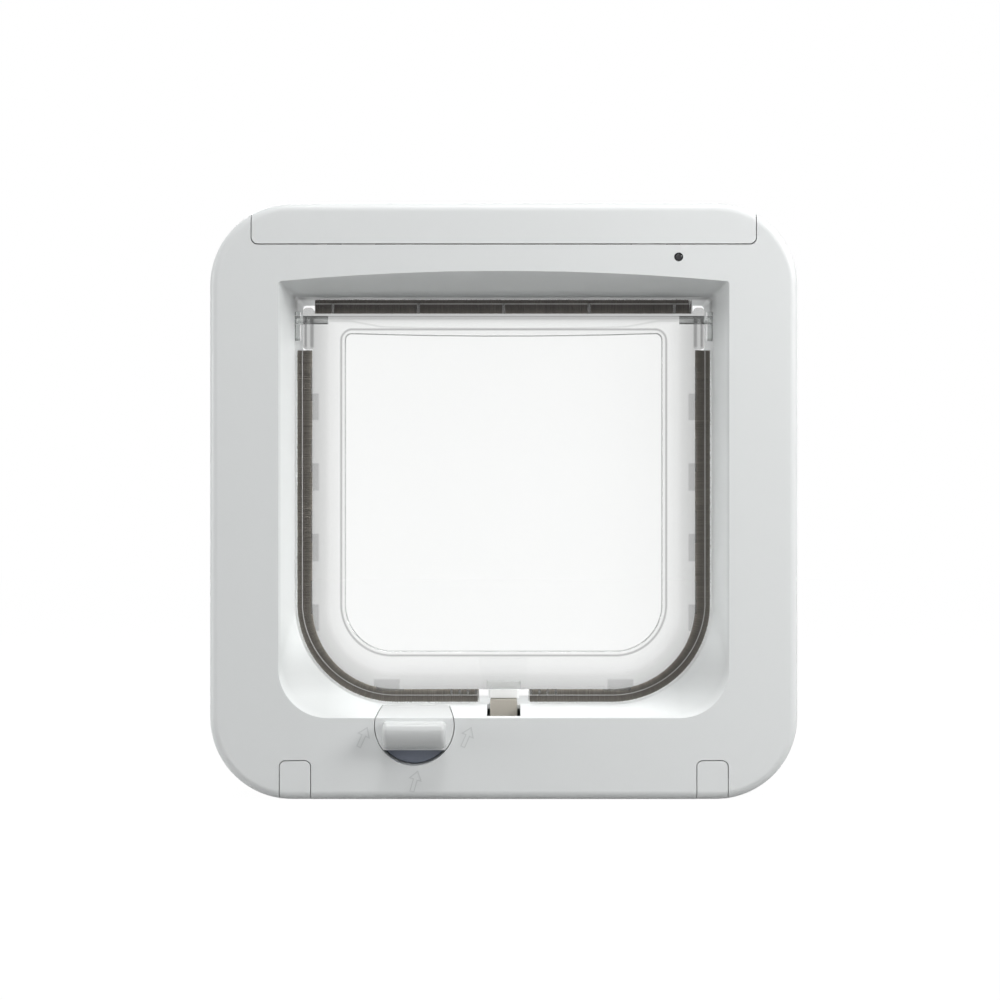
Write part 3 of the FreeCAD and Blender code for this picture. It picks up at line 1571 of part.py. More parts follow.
def make_all():
    parts = [
        make_front_bezel(),
        make_rear_housing(),
        make_tunnel_liner(),
        make_exterior_frame(),
        make_battery_cover(),
        make_screw_cover("screw_cover_left", -1),
        make_screw_cover("screw_cover_right", 1),
        make_flap_pane(),
        make_side_seal("seal_left", -1),
        make_side_seal("seal_right", 1),
        make_top_seal(),
        make_striker_block(),
        make_hinge_pin("hinge_pin_left", -1),
        make_hinge_pin("hinge_pin_right", 1),
        make_hinge_bush("hinge_bush_left", -1),
        make_hinge_bush("hinge_bush_right", 1),
        make_lock_knob(),
        make_knob_grip(),
        make_lock_pinion(),
        make_lock_slider(),
        make_latch_carrier(),
        make_catch_motor(),
        make_battery_tray(),
        make_learn_button(),
        make_circuit_board(),
        make_status_light(),
        make_antenna_coil(),
    ]
    magnet_seat = striker_foot + s.magnet_height - s.seat_gap
    parts.append(make_magnet("flap_magnet", striker_foot, magnet_seat))
    sill_under = -tunnel_floor - s.liner_wall - s.seat_gap
    parts.append(make_magnet("sill_magnet", sill_under - s.magnet_height, sill_under))
    parts.append(
        make_latch("inner_latch", inner_latch_start, inner_latch_end, inner_latch_end,
                   slider_start + s.ramp_depth - s.slip_gap)
    )
    parts.append(
        make_latch("outer_latch", outer_latch_start, outer_latch_end,
                   slider_end - s.ramp_depth + s.slip_gap, outer_latch_start)
    )
    number = 0
    for sign in (-1, 1):
        for index, row in enumerate(cell_rows):
            number += 1
            parts.append(make_battery_cell(f"battery_cell_{number}", sign, row, index == 0))
    for side, sign in (("left", -1), ("right", 1)):
        parts.append(make_contact(f"outer_contact_{side}", sign, True))
        parts.append(make_contact(f"inner_contact_{side}", sign, False))
    parts.extend(make_screws())
    return parts


def check_and_write(parts):
    doc.recompute()
    for item in doc.Objects:
        bad = {"Invalid", "Error"} & set(item.State)
        if bad:
            raise RuntimeError(f"{item.Label} is in state {sorted(bad)}: {item.getStatusString()}")
    for item in parts:
        if item.Shape.isNull() or not item.Shape.isValid():
            raise RuntimeError(f"{item.Label} has no valid shape")
        item.Shape.exportStep(f"parts/{item.Label}.step")
        print(f"{item.Label}: {len(item.Shape.Solids)} solid(s), {item.Shape.Volume:.1f} mm3")


check_and_write(make_all())
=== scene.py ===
import math
import random

import bmesh
import bpy
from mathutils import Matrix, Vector


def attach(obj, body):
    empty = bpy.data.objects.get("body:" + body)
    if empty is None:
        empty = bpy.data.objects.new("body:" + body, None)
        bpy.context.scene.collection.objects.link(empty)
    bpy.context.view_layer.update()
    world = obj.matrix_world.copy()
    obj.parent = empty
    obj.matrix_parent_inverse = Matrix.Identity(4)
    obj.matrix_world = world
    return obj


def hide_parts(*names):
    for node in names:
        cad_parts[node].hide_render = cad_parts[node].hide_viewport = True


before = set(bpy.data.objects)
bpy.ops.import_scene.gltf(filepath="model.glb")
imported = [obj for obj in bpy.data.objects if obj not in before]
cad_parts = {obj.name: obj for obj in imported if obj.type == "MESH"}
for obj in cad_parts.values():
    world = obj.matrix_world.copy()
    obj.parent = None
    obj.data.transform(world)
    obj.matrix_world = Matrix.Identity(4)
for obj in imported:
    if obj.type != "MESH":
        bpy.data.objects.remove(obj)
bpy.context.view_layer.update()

MM = 0.001
NEUTRAL = (1.0, 1.0, 1.0)
scene = bpy.context.scene
scene.view_settings.view_transform = "Standard"
rng = random.Random(7)


# Camera: straight ahead of the bezel, at the photograph's distance and frame.
CAMERA_PLACE = (-0.00134, -1.138, 0.00045)
camera_data = bpy.data.cameras.new("camera")
camera_data.sensor_width = 36.0
camera_data.lens = 111.0
camera_data.clip_start = 0.05
camera = bpy.data.objects.new("camera", camera_data)
camera.location = CAMERA_PLACE
camera.rotation_euler = (math.radians(90), 0, 0)
scene.collection.objects.link(camera)
scene.camera = camera


def area_lamp(name, place, target, size, power, tint=NEUTRAL):
    """A round soft lamp at place, turned towards target."""
    data = bpy.data.lights.new(name, "AREA")
    data.shape = "DISK"
    data.size = size
    data.energy = power
    data.color = tint
    lamp = bpy.data.objects.new(name, data)
    lamp.location = place
    aim = Vector(target) - Vector(place)
    lamp.rotation_mode = "QUATERNION"
    lamp.rotation_quaternion = aim.to_track_quat("-Z", "Y")
    scene.collection.objects.link(lamp)


FLAP_MIDDLE = (0, -0.02, 0)
ORIGIN = (0, 0, 0)
area_lamp("key_lamp", (0.6, -0.35, 0.3), FLAP_MIDDLE, 0.3, 3.3, (1.0, 1.0, 0.995))
area_lamp("top_lamp", (0.05, -0.32, 1.08), FLAP_MIDDLE, 0.4, 5.4)
area_lamp("left_lamp", (-1.2, -0.18, 0.1), FLAP_MIDDLE, 0.5, 5.2)
area_lamp("back_lamp", (-0.3, 0.9, 0.75), ORIGIN, 0.5, 3.2)
area_lamp("front_lamp", (-0.1, -1.7, 0.5), ORIGIN, 0.6, 2.6)


class Tree:
    """Small helpers for building a node tree. A value may be a number or another node's output."""

    def __init__(self, tree):
        self.tree = tree

    def node(self, kind, **values):
        made = self.tree.nodes.new(kind)
        for key, value in values.items():
            setattr(made, key, value)
        return made

    def link(self, source, target):
        self.tree.links.new(source, target)

    def math(self, operation, *values):
        made = self.node("ShaderNodeMath", operation=operation)
        for socket, value in zip(made.inputs, values):
            if isinstance(value, (int, float)):
                socket.default_value = value
            else:
                self.link(value, socket)
        return made.outputs[0]

    def span(self, source, low, high, from_low=0.3, from_high=0.7, **values):
        """The source's range from_low to from_high taken to low to high, and held there beyond."""
        made = self.node("ShaderNodeMapRange", **values)
        made.inputs["From Min"].default_value = from_low
        made.inputs["From Max"].default_value = from_high
        made.inputs["To Min"].default_value = low
        made.inputs["To Max"].default_value = high
        self.link(source, made.inputs["Value"])
        return made.outputs["Result"]

    def between(self, source, low, high, soft=0.2):
        """One between low and high, falling to zero over the soft width."""
        rise = self.span(source, 0.0, 1.0, low - soft, low + soft)
        fall = self.span(source, 1.0, 0.0, high - soft, high + soft)
        return self.math("MULTIPLY", rise, fall)

    def split(self, source):
        """A vector's x, y and z."""
        parts = self.node("ShaderNodeSeparateXYZ")
        self.link(source, parts.inputs[0])
        return [parts.outputs[axis] for axis in "XYZ"]

    def any_ray(self, *kinds):
        """One for a ray of any of these kinds, else zero."""
        rays = self.node("ShaderNodeLightPath")
        share = rays.outputs[kinds[0]]
        for kind in kinds[1:]:
            share = self.math("MAXIMUM", share, rays.outputs[kind])
        return share

    def mix(self, share, first, second):
        """Two shaders, with the given share of the second."""
        made = self.node("ShaderNodeMixShader")
        for socket, source in zip(made.inputs, (share, first, second)):
            self.link(source, socket)
        return made.outputs[0]


# Strengths, and where on the way up, or towards the tunnel's axis, each begins and ends to rise.
AMBIENT_RISE = (0.17, 0.42, -0.6, 0.8)
REFLECTED_RISE = (0.42, 1.0, 0.55, 0.97)


def light_room():
    """Ambient light that grows upwards. The camera sees white, and reflections a room that is
    brightest along the tunnel's axis."""
    world = bpy.data.worlds.new("studio")
    scene.world = world
    world.use_nodes = True
    world.node_tree.nodes.clear()
    room = Tree(world.node_tree)
    directions = room.node("ShaderNodeTexCoord").outputs["Generated"]
    _, depth, height = room.split(directions)

    def background(colour, strength=None):
        made = room.node("ShaderNodeBackground")
        made.inputs["Color"].default_value = (*colour, 1)
        if strength is not None:
            room.link(strength, made.inputs["Strength"])
        return made.outputs[0]

    ambient = background((0.97, 0.985, 1.0), room.span(height, *AMBIENT_RISE))
    along = room.math("ABSOLUTE", depth)
    reflected = room.span(along, *REFLECTED_RISE, interpolation_type="SMOOTHSTEP")
    mirrored = background(NEUTRAL, reflected)
    unseen = room.mix(room.any_ray("Is Glossy Ray", "Is Transmission Ray"), ambient, mirrored)
    shown = room.mix(room.any_ray("Is Camera Ray"), unseen, background(NEUTRAL))
    room.link(shown, room.node("ShaderNodeOutputWorld").inputs["Surface"])


light_room()


class Shader(Tree):
    """A Principled material with helpers for its procedural inputs."""

    def __init__(self, name):
        self.material = bpy.data.materials.new(name)
        self.material.use_nodes = True
        super().__init__(self.material.node_tree)
        self.bsdf = self.tree.nodes["Principled BSDF"]
        self.output = self.tree.nodes["Material Output"]
        self.coords = self.node("ShaderNodeTexCoord")

    def set(self, **values):
        for key, value in values.items():
            self.bsdf.inputs[key.replace("_", " ")].default_value = value

    def colour(self, source):
        self.link(source, self.bsdf.inputs["Base Color"])

    def roughness(self, source):
        self.link(source, self.bsdf.inputs["Roughness"])

    def surface(self, source):
        self.link(source, self.output.inputs["Surface"])

    def place(self):
        """The object's own x, y and z in millimetres."""
        metres = self.split(self.coords.outputs["Object"])
        return [self.math("MULTIPLY", distance, 1 / MM) for distance in metres]

    def noise(self, scale, detail=3.0, rough=0.55, stretch=NEUTRAL):
        mapping = self.node("ShaderNodeMapping")
        mapping.inputs["Scale"].default_value = stretch
        self.link(self.coords.outputs["Object"], mapping.inputs["Vector"])
        texture = self.node("ShaderNodeTexNoise")
        texture.inputs["Scale"].default_value = scale
        texture.inputs["Detail"].default_value = detail
        texture.inputs["Roughness"].default_value = rough
        self.link(mapping.outputs["Vector"], texture.inputs["Vector"])
        return texture.outputs["Fac"]

    def ramp(self, source, *stops):
        """Each stop is (position, colour)."""
        ramp = self.node("ShaderNodeValToRGB")
        elements = ramp.color_ramp.elements
        while len(elements) < len(stops):
            elements.new(0.5)
        for element, (position, colour) in zip(elements, stops):
            element.position = position
            element.color = (*colour, 1)
        self.link(source, ramp.inputs["Fac"])
        return ramp.outputs["Color"]

    def bump(self, *layers):
        """Each layer is (height source, strength, distance in metres)."""
        normal = None
        for source, strength, distance in layers:
            made = self.node("ShaderNodeBump")
            made.inputs["Strength"].default_value = strength
            made.inputs["Distance"].default_value = distance
            self.link(source, made.inputs["Height"])
            if normal is not None:
                self.link(normal, made.inputs["Normal"])
            normal = made.outputs["Normal"]
        self.link(normal, self.bsdf.inputs["Normal"])

    def transparent(self, colour=NEUTRAL):
        made = self.node("ShaderNodeBsdfTransparent")
        made.inputs["Color"].default_value = (*colour, 1)
        return made.outputs[0]


BLACK = (0.0, 0.0, 0.0)


def tone(colour, factor):
    return tuple(min(1.0, channel * factor) for channel in colour)


def plastic_surface(shader, rough, spread=0.05, grain=0.06, waved=True):
    """A spark-eroded grain on a slightly uneven gloss, and shallow sink waves where waved."""
    cloud = shader.noise(70.0, 4.0, 0.6)
    shader.roughness(shader.span(cloud, rough - spread, rough + spread))
    layers = [(shader.noise(2600.0, 2.0, 0.6), grain, 0.00012)]
    if waved:
        layers.append((shader.noise(38.0, 2.0, 0.5), 0.05, 0.0006))
    shader.bump(*layers)
    shader.set(IOR=1.5)


def moulded(name, colour, rough, spread=0.05, grain=0.06):
    """Moulded plastic with faint flow marks."""
    shader = Shader(name)
    flow = shader.noise(9.0, 2.0, 0.5, (1.0, 1.0, 2.2))
    shader.colour(shader.ramp(flow, (0.3, tone(colour, 0.988)), (0.7, tone(colour, 1.012))))
    plastic_surface(shader, rough, spread, grain)
    return shader.material


def bezel_material():
    """The bezel's white, with painted light and shade in its recess: painted shade at the low
    corners, over the ceiling and a painted shadow over the brush, painted light on the side walls
    and sill.
    Beyond the recess it is even."""
    shader = Shader("moulded_white_bezel")
    level = 0.75
    x, y, z = shader.place()
    across = shader.math("ABSOLUTE", x)

    def both(first, second):
        return shader.math("MULTIPLY", first, second)

    near = both(shader.span(across, 1.0, 0.0, 87.0, 89.0), shader.between(z, -87.0, 83.0, 1.0))
    recess = both(near, shader.span(y, 0.0, 1.0, -37.6, -34.0))
    wall = both(shader.span(across, 0.0, 1.0, 66.0, 74.0), shader.between(z, -50.0, 62.0, 9.0))
    rear_wall = both(wall, shader.span(y, 0.0, 1.0, -36.0, -22.0))
    low_side = shader.span(across, 0.0, 1.0, 48.0, 64.0)
    low_corner = both(low_side, shader.span(z, 1.0, 0.0, -66.0, -50.0))
    sill = shader.span(z, 1.0, 0.0, -70.0, -62.0)
    ceiling = shader.span(z, 0.0, 1.0, 67.0, 71.0)
    painted_brush_shadow = both(ceiling, shader.between(y, -18.0, -2.0, 5.0))
    painted_light_change = 0.0
    # Painted light and shade: paler side walls and sill, deeper low corners and ceiling, and a
    # painted shadow over the brush.
    for mask, strength in (
        (wall, 0.13), (rear_wall, 0.08), (low_corner, -0.17),
        (sill, 0.12), (ceiling, -0.03), (painted_brush_shadow, -0.45),
    ):
        painted_light_change = shader.math("MULTIPLY_ADD", mask, strength, painted_light_change)
    shade = shader.math("MULTIPLY_ADD", painted_light_change, recess, level)
    shader.colour(shader.ramp(shade, (0.0, BLACK), (1.0, (0.99, 1.01, 1.006))))
    plastic_surface(shader, 0.42)
    return shader.material


def knob_material():
    """The knob's white, with painted shade: a touch deeper on the finger ridge, in front of the
    disc.
    """
    shader = Shader("moulded_white_knob")
    _, y, _ = shader.place()
    # Painted shade: the finger ridge in front of the disc is darker than the disc.
    ridge = shader.span(y, 1.0, 0.0, -38.9, -38.2)
    shader.colour(shader.ramp(ridge, (0.0, (0.73, 0.742, 0.74)), (1.0, (0.63, 0.643, 0.64))))
    plastic_surface(shader, 0.34, grain=0.03, waved=False)
    return shader.material


def clear(name, colour, rough, density):
    """Clear plastic with faint flow lines and a little haze. It lets the lamps' light through."""
    shader = Shader(name)
    shader.set(Base_Color=(*colour, 1), Transmission_Weight=0.93, IOR=1.49)
    absorption = shader.node("ShaderNodeVolumeAbsorption")
    absorption.inputs["Color"].default_value = (0.70, 0.715, 0.71, 1)
    absorption.inputs["Density"].default_value = density
    shader.link(absorption.outputs["Volume"], shader.output.inputs["Volume"])
    shader.roughness(shader.span(shader.noise(55.0, 3.0, 0.6), rough, rough + 0.03))
    shader.bump((shader.noise(30.0, 2.0, 0.5, (1.0, 1.0, 0.5)), 0.05, 0.0005))
    passing = shader.transparent((0.88, 0.89, 0.885))
    lit = shader.mix(shader.any_ray("Is Shadow Ray"), shader.bsdf.outputs[0], passing)
    shader.surface(lit)
    return shader


# The flap's rim in millimetres: where the brush leaves it, and the wide round of its low corners.
RIM_SIDE, RIM_FOOT, RIM_CORNER = 69.7, -68.4, 30.2

# Side, head, foot, low corner and high corner of the flap's bead and window, in millimetres.
BEAD = (59.4, 62.8, -56.4, 18.8, 4.2)
WINDOW = (57.6, 61.0, -54.6, 17.0, 2.4)

# Painted shade on the border: how pale it is from the bead (0) to the rim (1).
BORDER_PAINTED_SHADE = (
    (0.0, 0.96), (0.25, 0.935), (0.48, 0.865), (0.63, 0.76), (0.78, 0.70), (0.9, 0.66), (1.0, 0.60)
)


def corner_distance(shader, out, along, centre_out, centre_along):
    """Distance from a corner's centre, measured only outwards and past it."""
    sides = [
        shader.math("MAXIMUM", shader.math("SUBTRACT", out, centre_out), 0.0),
        shader.math("MAXIMUM", shader.math("SUBTRACT", centre_along, along), 0.0),
    ]
    squares = [shader.math("POWER", side, 2.0) for side in sides]
    return shader.math("SQRT", shader.math("ADD", *squares))


def panel_distance(shader, across, z, side, head, foot, low_corner, high_corner):
    """Distance from a panel's outline, below zero inside it."""
    low = corner_distance(shader, across, z, side - low_corner, foot + low_corner)
    turned = shader.math("MULTIPLY", z, -1.0)
    high = corner_distance(shader, across, turned, side - high_corner, high_corner - head)
    past_low = shader.math("SUBTRACT", low, low_corner)
    past_high = shader.math("SUBTRACT", high, high_corner)
    return shader.math("MAXIMUM", past_low, past_high)


def pane_material():
    """The flap's clear moulding, with painted shade: darker towards its rim and along its bead,
    brow, clips and lugs.
    """
    shader = clear("clear_pane", (0.96, 0.965, 0.965), 0.0, 40.0)
    x, _, z = shader.place()
    across = shader.math("ABSOLUTE", x)

    def spot(out_low, out_high, low, high, out_soft, soft):
        """One in a box on both sides of the flap."""
        beside = shader.between(across, out_low, out_high, out_soft)
        return shader.math("MULTIPLY", beside, shader.between(z, low, high, soft))

    from_corner = corner_distance(
        shader, across, z, RIM_SIDE - RIM_CORNER, RIM_FOOT + RIM_CORNER
    )
    near_rim = shader.span(from_corner, 0.0, 1.0, 18.0, RIM_CORNER)
    near_head = shader.span(z, 0.0, 1.0, 63.6, 67.4)
    rim = shader.math("MAXIMUM", near_rim, near_head)
    painted_rim_shade = shader.ramp(rim, *((position, (pale,) * 3) for position, pale in BORDER_PAINTED_SHADE))

    bead = shader.between(panel_distance(shader, across, z, *BEAD), -0.5, 0.2)
    to_window = panel_distance(shader, across, z, *WINDOW)
    window = shader.span(to_window, 1.0, 0.0, -0.2, 0.2)

    sag = shader.math("MULTIPLY_ADD", shader.math("POWER", across, 2.0), 0.00035, 62.7)
    slope = shader.math("MINIMUM", shader.math("MULTIPLY_ADD", across, 0.186, 55.1), 65.5)
    fold = shader.math("SUBTRACT", z, shader.math("MAXIMUM", sag, slope))
    brow = shader.between(fold, -0.1, 0.5)
    head_line = shader.between(z, 66.3, 66.7, 0.15)
    head_edge = shader.between(z, 67.0, 67.5, 0.15)

    pitch = shader.math("PINGPONG", shader.math("SUBTRACT", z, 34.6), 12.87)
    clip_row = spot(67.4, 70.4, -47.3, 39.3, 0.3, 0.2)
    side_clip = shader.math("MULTIPLY", clip_row, shader.between(pitch, -1.0, 5.0, 0.3))
    foot_clip = spot(37.9, 47.3, -69.0, -64.9, 0.3, 0.3)
    lug_side = spot(69.3, 70.5, 56.0, 66.5, 0.25, 0.6)
    lug_edge = spot(71.8, 72.6, 56.0, 66.5, 0.25, 0.6)

    pale = shader.math("MAXIMUM", painted_rim_shade, window)
    # Painted shade lines and patches at the bead, brow, clips, lugs and head.
    for mask, strength in (
        (bead, 0.44), (brow, 0.14), (side_clip, 0.24), (foot_clip, 0.2),
        (head_line, 0.3), (head_edge, 0.35), (lug_side, 0.45), (lug_edge, 0.5),
    ):
        left = shader.math("MULTIPLY_ADD", mask, -strength, 1.0)
        pale = shader.math("MULTIPLY", pale, left)
    shader.colour(shader.ramp(pale, (0.0, BLACK), (1.0, (0.985, 0.99, 0.985))))
    return shader.material


def metal(name, colour, rough, stretch):
    """Metal with drawn or rolled lines along the way it is stretched."""
    shader = Shader(name)
    shader.set(Metallic=1.0, IOR=1.5)
    cloud = shader.noise(160.0, 3.0, 0.6)
    shader.colour(shader.ramp(cloud, (0.3, tone(colour, 0.9)), (0.7, tone(colour, 1.05))))
    lines = shader.noise(900.0, 2.0, 0.7, stretch)
    shader.roughness(shader.span(lines, rough - 0.08, rough + 0.1))
    shader.bump((lines, 0.12, 0.00005))
    return shader.material


def pile_material(name, root, tip):
    """Woven pile: pale where the rim holds it, dark beyond, a little greenish at the free tips."""
    shader = Shader(name)
    reach = shader.node("ShaderNodeAttribute", attribute_name="reach").outputs["Fac"]
    shade = shader.node("ShaderNodeAttribute", attribute_name="shade").outputs["Fac"]
    along = shader.ramp(
        reach,
        (0.0, tone(root, 2.3)), (0.22, tone(root, 1.3)), (0.42, root),
        (0.85, tone(root, 1.2)), (1.0, tip),
    )
    strand = shader.ramp(shade, (0.0, (0.62, 0.6, 0.58)), (1.0, (1.25, 1.22, 1.18)))
    both = shader.node("ShaderNodeMix", data_type="RGBA", blend_type="MULTIPLY")
    both.inputs["Factor"].default_value = 1.0
    shader.link(along, both.inputs["A"])
    shader.link(strand, both.inputs["B"])
    shader.colour(both.outputs["Result"])
    fuzz = shader.noise(1900.0, 2.0, 0.6)
    shader.roughness(shader.span(fuzz, 0.55, 0.8))
    shader.bump((fuzz, 0.25, 0.0001))
    shader.set(Sheen_Weight=0.2)
    return shader.material


def board_material():
    """Solder mask over copper tracks on a green board."""
    shader = Shader("board_mask")
    tracks = shader.noise(420.0, 0.0, 0.5, (1.0, 1.0, 0.25))
    green = (0.012, 0.075, 0.035)
    shader.colour(shader.ramp(tracks, (0.48, green), (0.5, tone(green, 2.0)), (0.53, green)))
    shader.roughness(shader.span(shader.noise(90.0), 0.25, 0.4))
    shader.bump((tracks, 0.1, 0.0001))
    return shader.material


def wrap_material():
    """A battery's sleeve: a dark can, a paler band at its outer end, fine shrink wrinkles."""
    shader = Shader("cell_sleeve")
    x, _, _ = shader.place()
    band = shader.span(shader.math("ABSOLUTE", x), 0.0, 1.0, 44.0, 44.5)
    shader.colour(shader.ramp(band, (0.0, (0.03, 0.033, 0.04)), (1.0, (0.42, 0.4, 0.36))))
    wrinkle = shader.noise(300.0, 3.0, 0.6, (0.3, 1, 1))
    shader.roughness(shader.span(wrinkle, 0.22, 0.36))
    shader.bump((wrinkle, 0.1, 0.0002))
    return shader.material


white = moulded("moulded_white", (0.75, 0.765, 0.762), 0.42)
# The striker's white is a brighter copy of the white plastic: painted light on its face, which
# catches the top light.
striker_painted_light = moulded("moulded_white_striker_painted_light", (0.93, 0.935, 0.93), 0.4)
housing_white = moulded("moulded_white_matt", (0.80, 0.81, 0.80), 0.5)
beige = moulded("moulded_beige", (0.53, 0.495, 0.43), 0.4)
grey = moulded("moulded_grey", (0.09, 0.095, 0.105), 0.45)
# A dark pad in the knob's scoop: painted shade, a dark part set where the scoop lies in shadow.
grip_painted_shade = moulded("moulded_grip_painted_shade", (0.245, 0.27, 0.335), 0.5)
smoked = moulded("smoked_lens", (0.012, 0.012, 0.014), 0.12, 0.03, 0.01)
mark_grey = moulded("raised_mark", (0.63, 0.645, 0.642), 0.5)
fin_grey = moulded("fin_film", (0.47, 0.46, 0.45), 0.35)
bush_clear = clear("clear_bush", (0.95, 0.96, 0.955), 0.05, 140.0).material
steel = metal("bright_steel", (0.62, 0.62, 0.63), 0.3, (1, 6, 1))
copper = metal("enamelled_copper", (0.62, 0.28, 0.12), 0.35, (1, 12, 1))
magnet = metal("sintered_magnet", (0.3, 0.3, 0.32), 0.5, (1, 1, 1))
pile = pile_material("brush_pile", (0.16, 0.15, 0.135), (0.27, 0.268, 0.23))
# A darker copy of the pile for the top brush: painted shade under the recess's ceiling.
pile_painted_shade = pile_material("brush_pile_painted_shade", (0.12, 0.112, 0.105), (0.2, 0.195, 0.18))

FINISHES = (
    (bezel_material(), "front_bezel tunnel_liner"),
    (housing_white, "rear_housing"),
    (white, "exterior_frame battery_cover screw_cover_left screw_cover_right"),
    (bush_clear, "hinge_bush_left hinge_bush_right hinge_pin_left hinge_pin_right"),
    (pane_material(), "flap_pane"),
    (striker_painted_light, "striker_block"),
    (knob_material(), "lock_knob"),
    (grip_painted_shade, "knob_grip"),
    (grey, "latch_carrier battery_tray lock_pinion lock_slider learn_button"),
    (beige, "inner_latch outer_latch"),
    (smoked, "status_light"),
    (steel, "catch_motor outer_contact_left inner_contact_left outer_contact_right"),
    (steel, "inner_contact_right fixing_screws case_screws board_screws"),
    (copper, "antenna_coil"),
    (magnet, "sill_magnet flap_magnet"),
    (board_material(), "circuit_board"),
    (wrap_material(), "battery_cell_1 battery_cell_2 battery_cell_3 battery_cell_4"),
)
for finish, node_names in FINISHES:
    for node_name in node_names.split():
        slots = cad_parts[node_name].data.materials
        slots.clear()
        slots.append(finish)


def finished(name, mesh_maker, material, body):
    """A new piece from a bmesh, in the row frame, riding on a body."""
    mesh = bpy.data.meshes.new(name)
    mesh_maker.to_mesh(mesh)
    mesh_maker.free()
    piece = bpy.data.objects.new(name, mesh)
    scene.collection.objects.link(piece)
    mesh.materials.append(material)
    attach(piece, body)
    return piece


def join_rings(mesh, rings):
    """Walls between each ring of vertices and the next."""
    for first, second in zip(rings, rings[1:]):
        for i in range(len(first)):
            j = (i + 1) % len(first)
            mesh.faces.new((first[i], first[j], second[j], second[i]))


# The brush, in millimetres. The pile stands out of the flap's rim within its solids' space.
FLAP_Y = -13.0
SEAL_HEAD, NOTCH_SIDE = 54.9, 9.1
SIDE_REACH, FOOT_REACH = 5.8, 4.95
TOP_ROOT, TOP_REACH, TOP_HALF = 68.45, 5.3, 68.6
ROOT_GAP = 0.1
BRISTLE_STEP, SIDE_STEP, TOP_STEP = 0.24, 1.2, 2.0
ROW_DEPTHS = (-0.62, -0.36, 0.36, 0.62)
CORE_Y, FIN_Y = (-13.45, -12.55), (-13.9, -13.6)

# Shares of the pile's reach: the core's start and end, half of a fin, and a fin's loss at the foot.
CORE_SHARES, FIN_HALF, FIN_LOSS = (0.01, 0.93), 0.028, 0.18


def side_route(sign, step):
    """Points (x, z) and outward normals down one side, round the low corner, in to the notch."""
    side, foot, corner = RIM_SIDE + ROOT_GAP, RIM_FOOT - ROOT_GAP, RIM_CORNER + ROOT_GAP
    points = []
    for i in range(int((SEAL_HEAD - foot - corner) / step)):
        points.append(((side, SEAL_HEAD - i * step), (1.0, 0.0)))
    turn = int(corner * math.pi / 2 / step)
    for i in range(turn):
        angle = math.pi / 2 * i / turn
        x = side - corner + corner * math.cos(angle)
        z = foot + corner - corner * math.sin(angle)
        points.append(((x, z), (math.cos(angle), -math.sin(angle))))
    for i in range(int((side - corner - NOTCH_SIDE) / step) + 1):
        points.append(((side - corner - i * step, foot), (0.0, -1.0)))
    return [((sign * x, z), (sign * nx, nz)) for (x, z), (nx, nz) in points]


def top_route(step):
    """Points (x, z) and upward normals along the flap's head."""
    count = int(2 * TOP_HALF / step)
    return [((-TOP_HALF + i * step, TOP_ROOT), (0.0, 1.0)) for i in range(count + 1)]


def brush_reach(normal_z):
    """How far the pile stands out of the rim: less below it than beside or above it."""
    if normal_z > 0:
        return TOP_REACH
    return SIDE_REACH + (SIDE_REACH - FOOT_REACH) * normal_z


def tag_layers(mesh):
    """What the pile's material reads: how far out a vertex is, and its strand's shade."""
    return mesh.verts.layers.float.new("reach"), mesh.verts.layers.float.new("shade")


def tagged(mesh, layers, place, reach, shade):
    vertex = mesh.verts.new(place)
    for layer, value in zip(layers, (reach, shade)):
        vertex[layer] = value
    return vertex


def add_strand(mesh, layers, root, tip, width, shade):
    """One bristle: a slim three-sided spike from root to tip."""
    axis = tip - root
    side = axis.cross(Vector((0, 1, 0))).normalized() * width
    up = axis.cross(side).normalized() * width
    turns = (side, -side * 0.5 + up * 0.87, -side * 0.5 - up * 0.87)
    rings = [
        [tagged(mesh, layers, centre + turn * scale, reach, shade) for turn in turns]
        for centre, scale, reach in ((root, 1.0, 0.0), (tip, 0.55, 1.0))
    ]
    join_rings(mesh, rings)
    mesh.faces.new(rings[1])


def add_band(mesh, layers, route, inner, outer, depths, reaches, shade, lift=0.0):
    """A closed strip along the route. inner and outer are shares of the pile's reach, and below
    the rim they are less by lift."""
    corners = (
        (inner, depths[0], reaches[0]), (outer, depths[0], reaches[1]),
        (outer, depths[1], reaches[1]), (inner, depths[1], reaches[0]),
    )
    rings = []
    for (x, z), (nx, nz) in route:
        ring = []
        for share, y, reach in corners:
            out = (share + lift * min(nz, 0.0)) * brush_reach(nz)
            place = Vector(((x + nx * out) * MM, y * MM, (z + nz * out) * MM))
            ring.append(tagged(mesh, layers, place, reach, shade))
        rings.append(ring)
    join_rings(mesh, rings)
    mesh.faces.new(rings[0][::-1])
    mesh.faces.new(rings[-1])


def make_pile(name, node, route, core_route, material):
    """Rows of bristles on a dense core that leaves from the rim's clip."""
    mesh = bmesh.new()
    layers = tag_layers(mesh)
    add_band(mesh, layers, core_route, *CORE_SHARES, CORE_Y, (0.0, 0.9), 0.35)
    for row in ROW_DEPTHS:
        for (x, z), (nx, nz) in route:
            tx, tz = -nz, nx
            slide = rng.uniform(-0.14, 0.14)
            lean = rng.uniform(-0.35, 0.35)
            stretch = brush_reach(nz) * rng.uniform(0.86, 1.0)
            deep = FLAP_Y + row + rng.uniform(-0.1, 0.1)
            over = FLAP_Y + row * 0.85 + rng.uniform(-0.06, 0.06)
            width = rng.uniform(0.06, 0.09) * MM
            tip_slide = slide + lean
            root = Vector((x + tx * slide, deep, z + tz * slide)) * MM
            tip = Vector((
                x + nx * stretch + tx * tip_slide, over, z + nz * stretch + tz * tip_slide
            )) * MM
            add_strand(mesh, layers, root, tip, width, rng.random())
    mesh.normal_update()
    piece = finished(name, mesh, material, "flap")
    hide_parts(node)


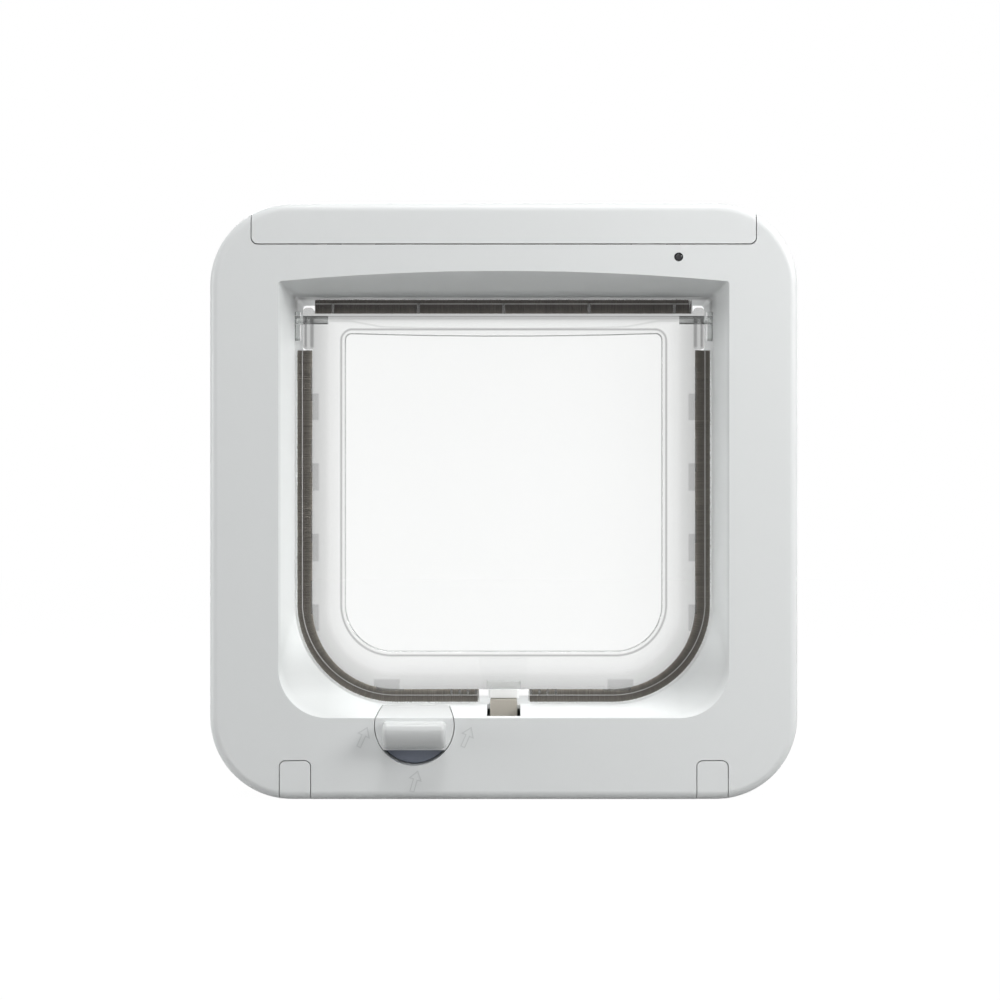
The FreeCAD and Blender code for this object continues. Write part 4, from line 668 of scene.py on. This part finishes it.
def make_fin(name, route, share):
    """The film that stands in the middle of the pile and shows as a thin pale line."""
    mesh = bmesh.new()
    inner, outer = share - FIN_HALF, share + FIN_HALF
    add_band(mesh, tag_layers(mesh), route, inner, outer, FIN_Y, (0.0, 0.0), 0.5, FIN_LOSS)
    finished(name, mesh, fin_grey, "flap")


for side_name, side_sign in (("left", -1), ("right", 1)):
    core = side_route(side_sign, SIDE_STEP)
    bristles = side_route(side_sign, BRISTLE_STEP)
    make_pile(f"pile_{side_name}", f"seal_{side_name}", bristles, core, pile)
    make_fin(f"fin_{side_name}", core, 0.62)
make_pile("pile_top", "seal_top", top_route(BRISTLE_STEP), top_route(TOP_STEP), pile_painted_shade)
make_fin("fin_top", top_route(TOP_STEP), 0.66)


# Faint arrows round the knob, in millimetres: outline, hollow core, and name, x, z and angle.
ARROW = ((-0.9, -4.0), (0.9, -4.0), (0.9, 0.4), (2.5, 0.4), (0.0, 4.0), (-2.5, 0.4), (-0.9, 0.4))
ARROW_CORE = (
    (-0.5, -3.6), (0.5, -3.6), (0.5, 0.8), (1.7, 0.8), (0.0, 3.3), (-1.7, 0.8), (-0.5, 0.8)
)
FACE_Y, MARK_Y = -37.98, -38.1
MARKS = (
    ("mark_left", -50.2, -84.1, -24), ("mark_right", -13.1, -84.1, -24),
    ("mark_foot", -31.7, -99.8, -16),
)


def make_mark(name, x, z, angle):
    """A hollow arrow with a thin raised stroke, turned by angle and set on the bezel's face."""
    mesh = bmesh.new()
    c, s = math.cos(math.radians(angle)), math.sin(math.radians(angle))
    rings = []
    for shape, y in ((ARROW, FACE_Y), (ARROW, MARK_Y), (ARROW_CORE, MARK_Y), (ARROW_CORE, FACE_Y)):
        places = [(x + u * c - v * s, z + u * s + v * c) for u, v in shape]
        rings.append([mesh.verts.new((px * MM, y * MM, pz * MM)) for px, pz in places])
    join_rings(mesh, rings + rings[:1])
    bmesh.ops.recalc_face_normals(mesh, faces=mesh.faces)
    finished(name, mesh, mark_grey, "frame")


for mark in MARKS:
    make_mark(*mark)


FLOOR_Z, FLOOR_HALF = -106.7, 3000.0
GLOW_STRENGTH, GLOW_SHARE = 1.06, 0.93


def floor_material():
    """Pale paper that shows as white, keeps the object's shadow and is open from below."""
    shader = Shader("floor_paper")
    paper = shader.noise(6.0, 3.0, 0.5)
    shader.colour(shader.ramp(paper, (0.3, (0.27, 0.27, 0.27)), (0.7, (0.30, 0.30, 0.30))))
    shader.set(Roughness=0.7)
    glow = shader.node("ShaderNodeEmission")
    glow.inputs["Strength"].default_value = GLOW_STRENGTH
    seen = shader.any_ray("Is Camera Ray", "Is Glossy Ray", "Is Transmission Ray")
    share = shader.math("MULTIPLY", seen, GLOW_SHARE)
    shown = shader.mix(share, shader.bsdf.outputs[0], glow.outputs[0])
    below = shader.node("ShaderNodeNewGeometry").outputs["Backfacing"]
    shader.surface(shader.mix(below, shown, shader.transparent()))
    return shader.material


def make_floor():
    mesh = bmesh.new()
    corners = [
        (sign_x * FLOOR_HALF * MM, sign_y * FLOOR_HALF * MM, FLOOR_Z * MM)
        for sign_x, sign_y in ((-1, -1), (1, -1), (1, 1), (-1, 1))
    ]
    mesh.faces.new([mesh.verts.new(corner) for corner in corners])
    data = bpy.data.meshes.new("floor")
    mesh.to_mesh(data)
    mesh.free()
    data.materials.append(floor_material())
    floor = bpy.data.objects.new("floor", data)
    scene.collection.objects.link(floor)


make_floor()
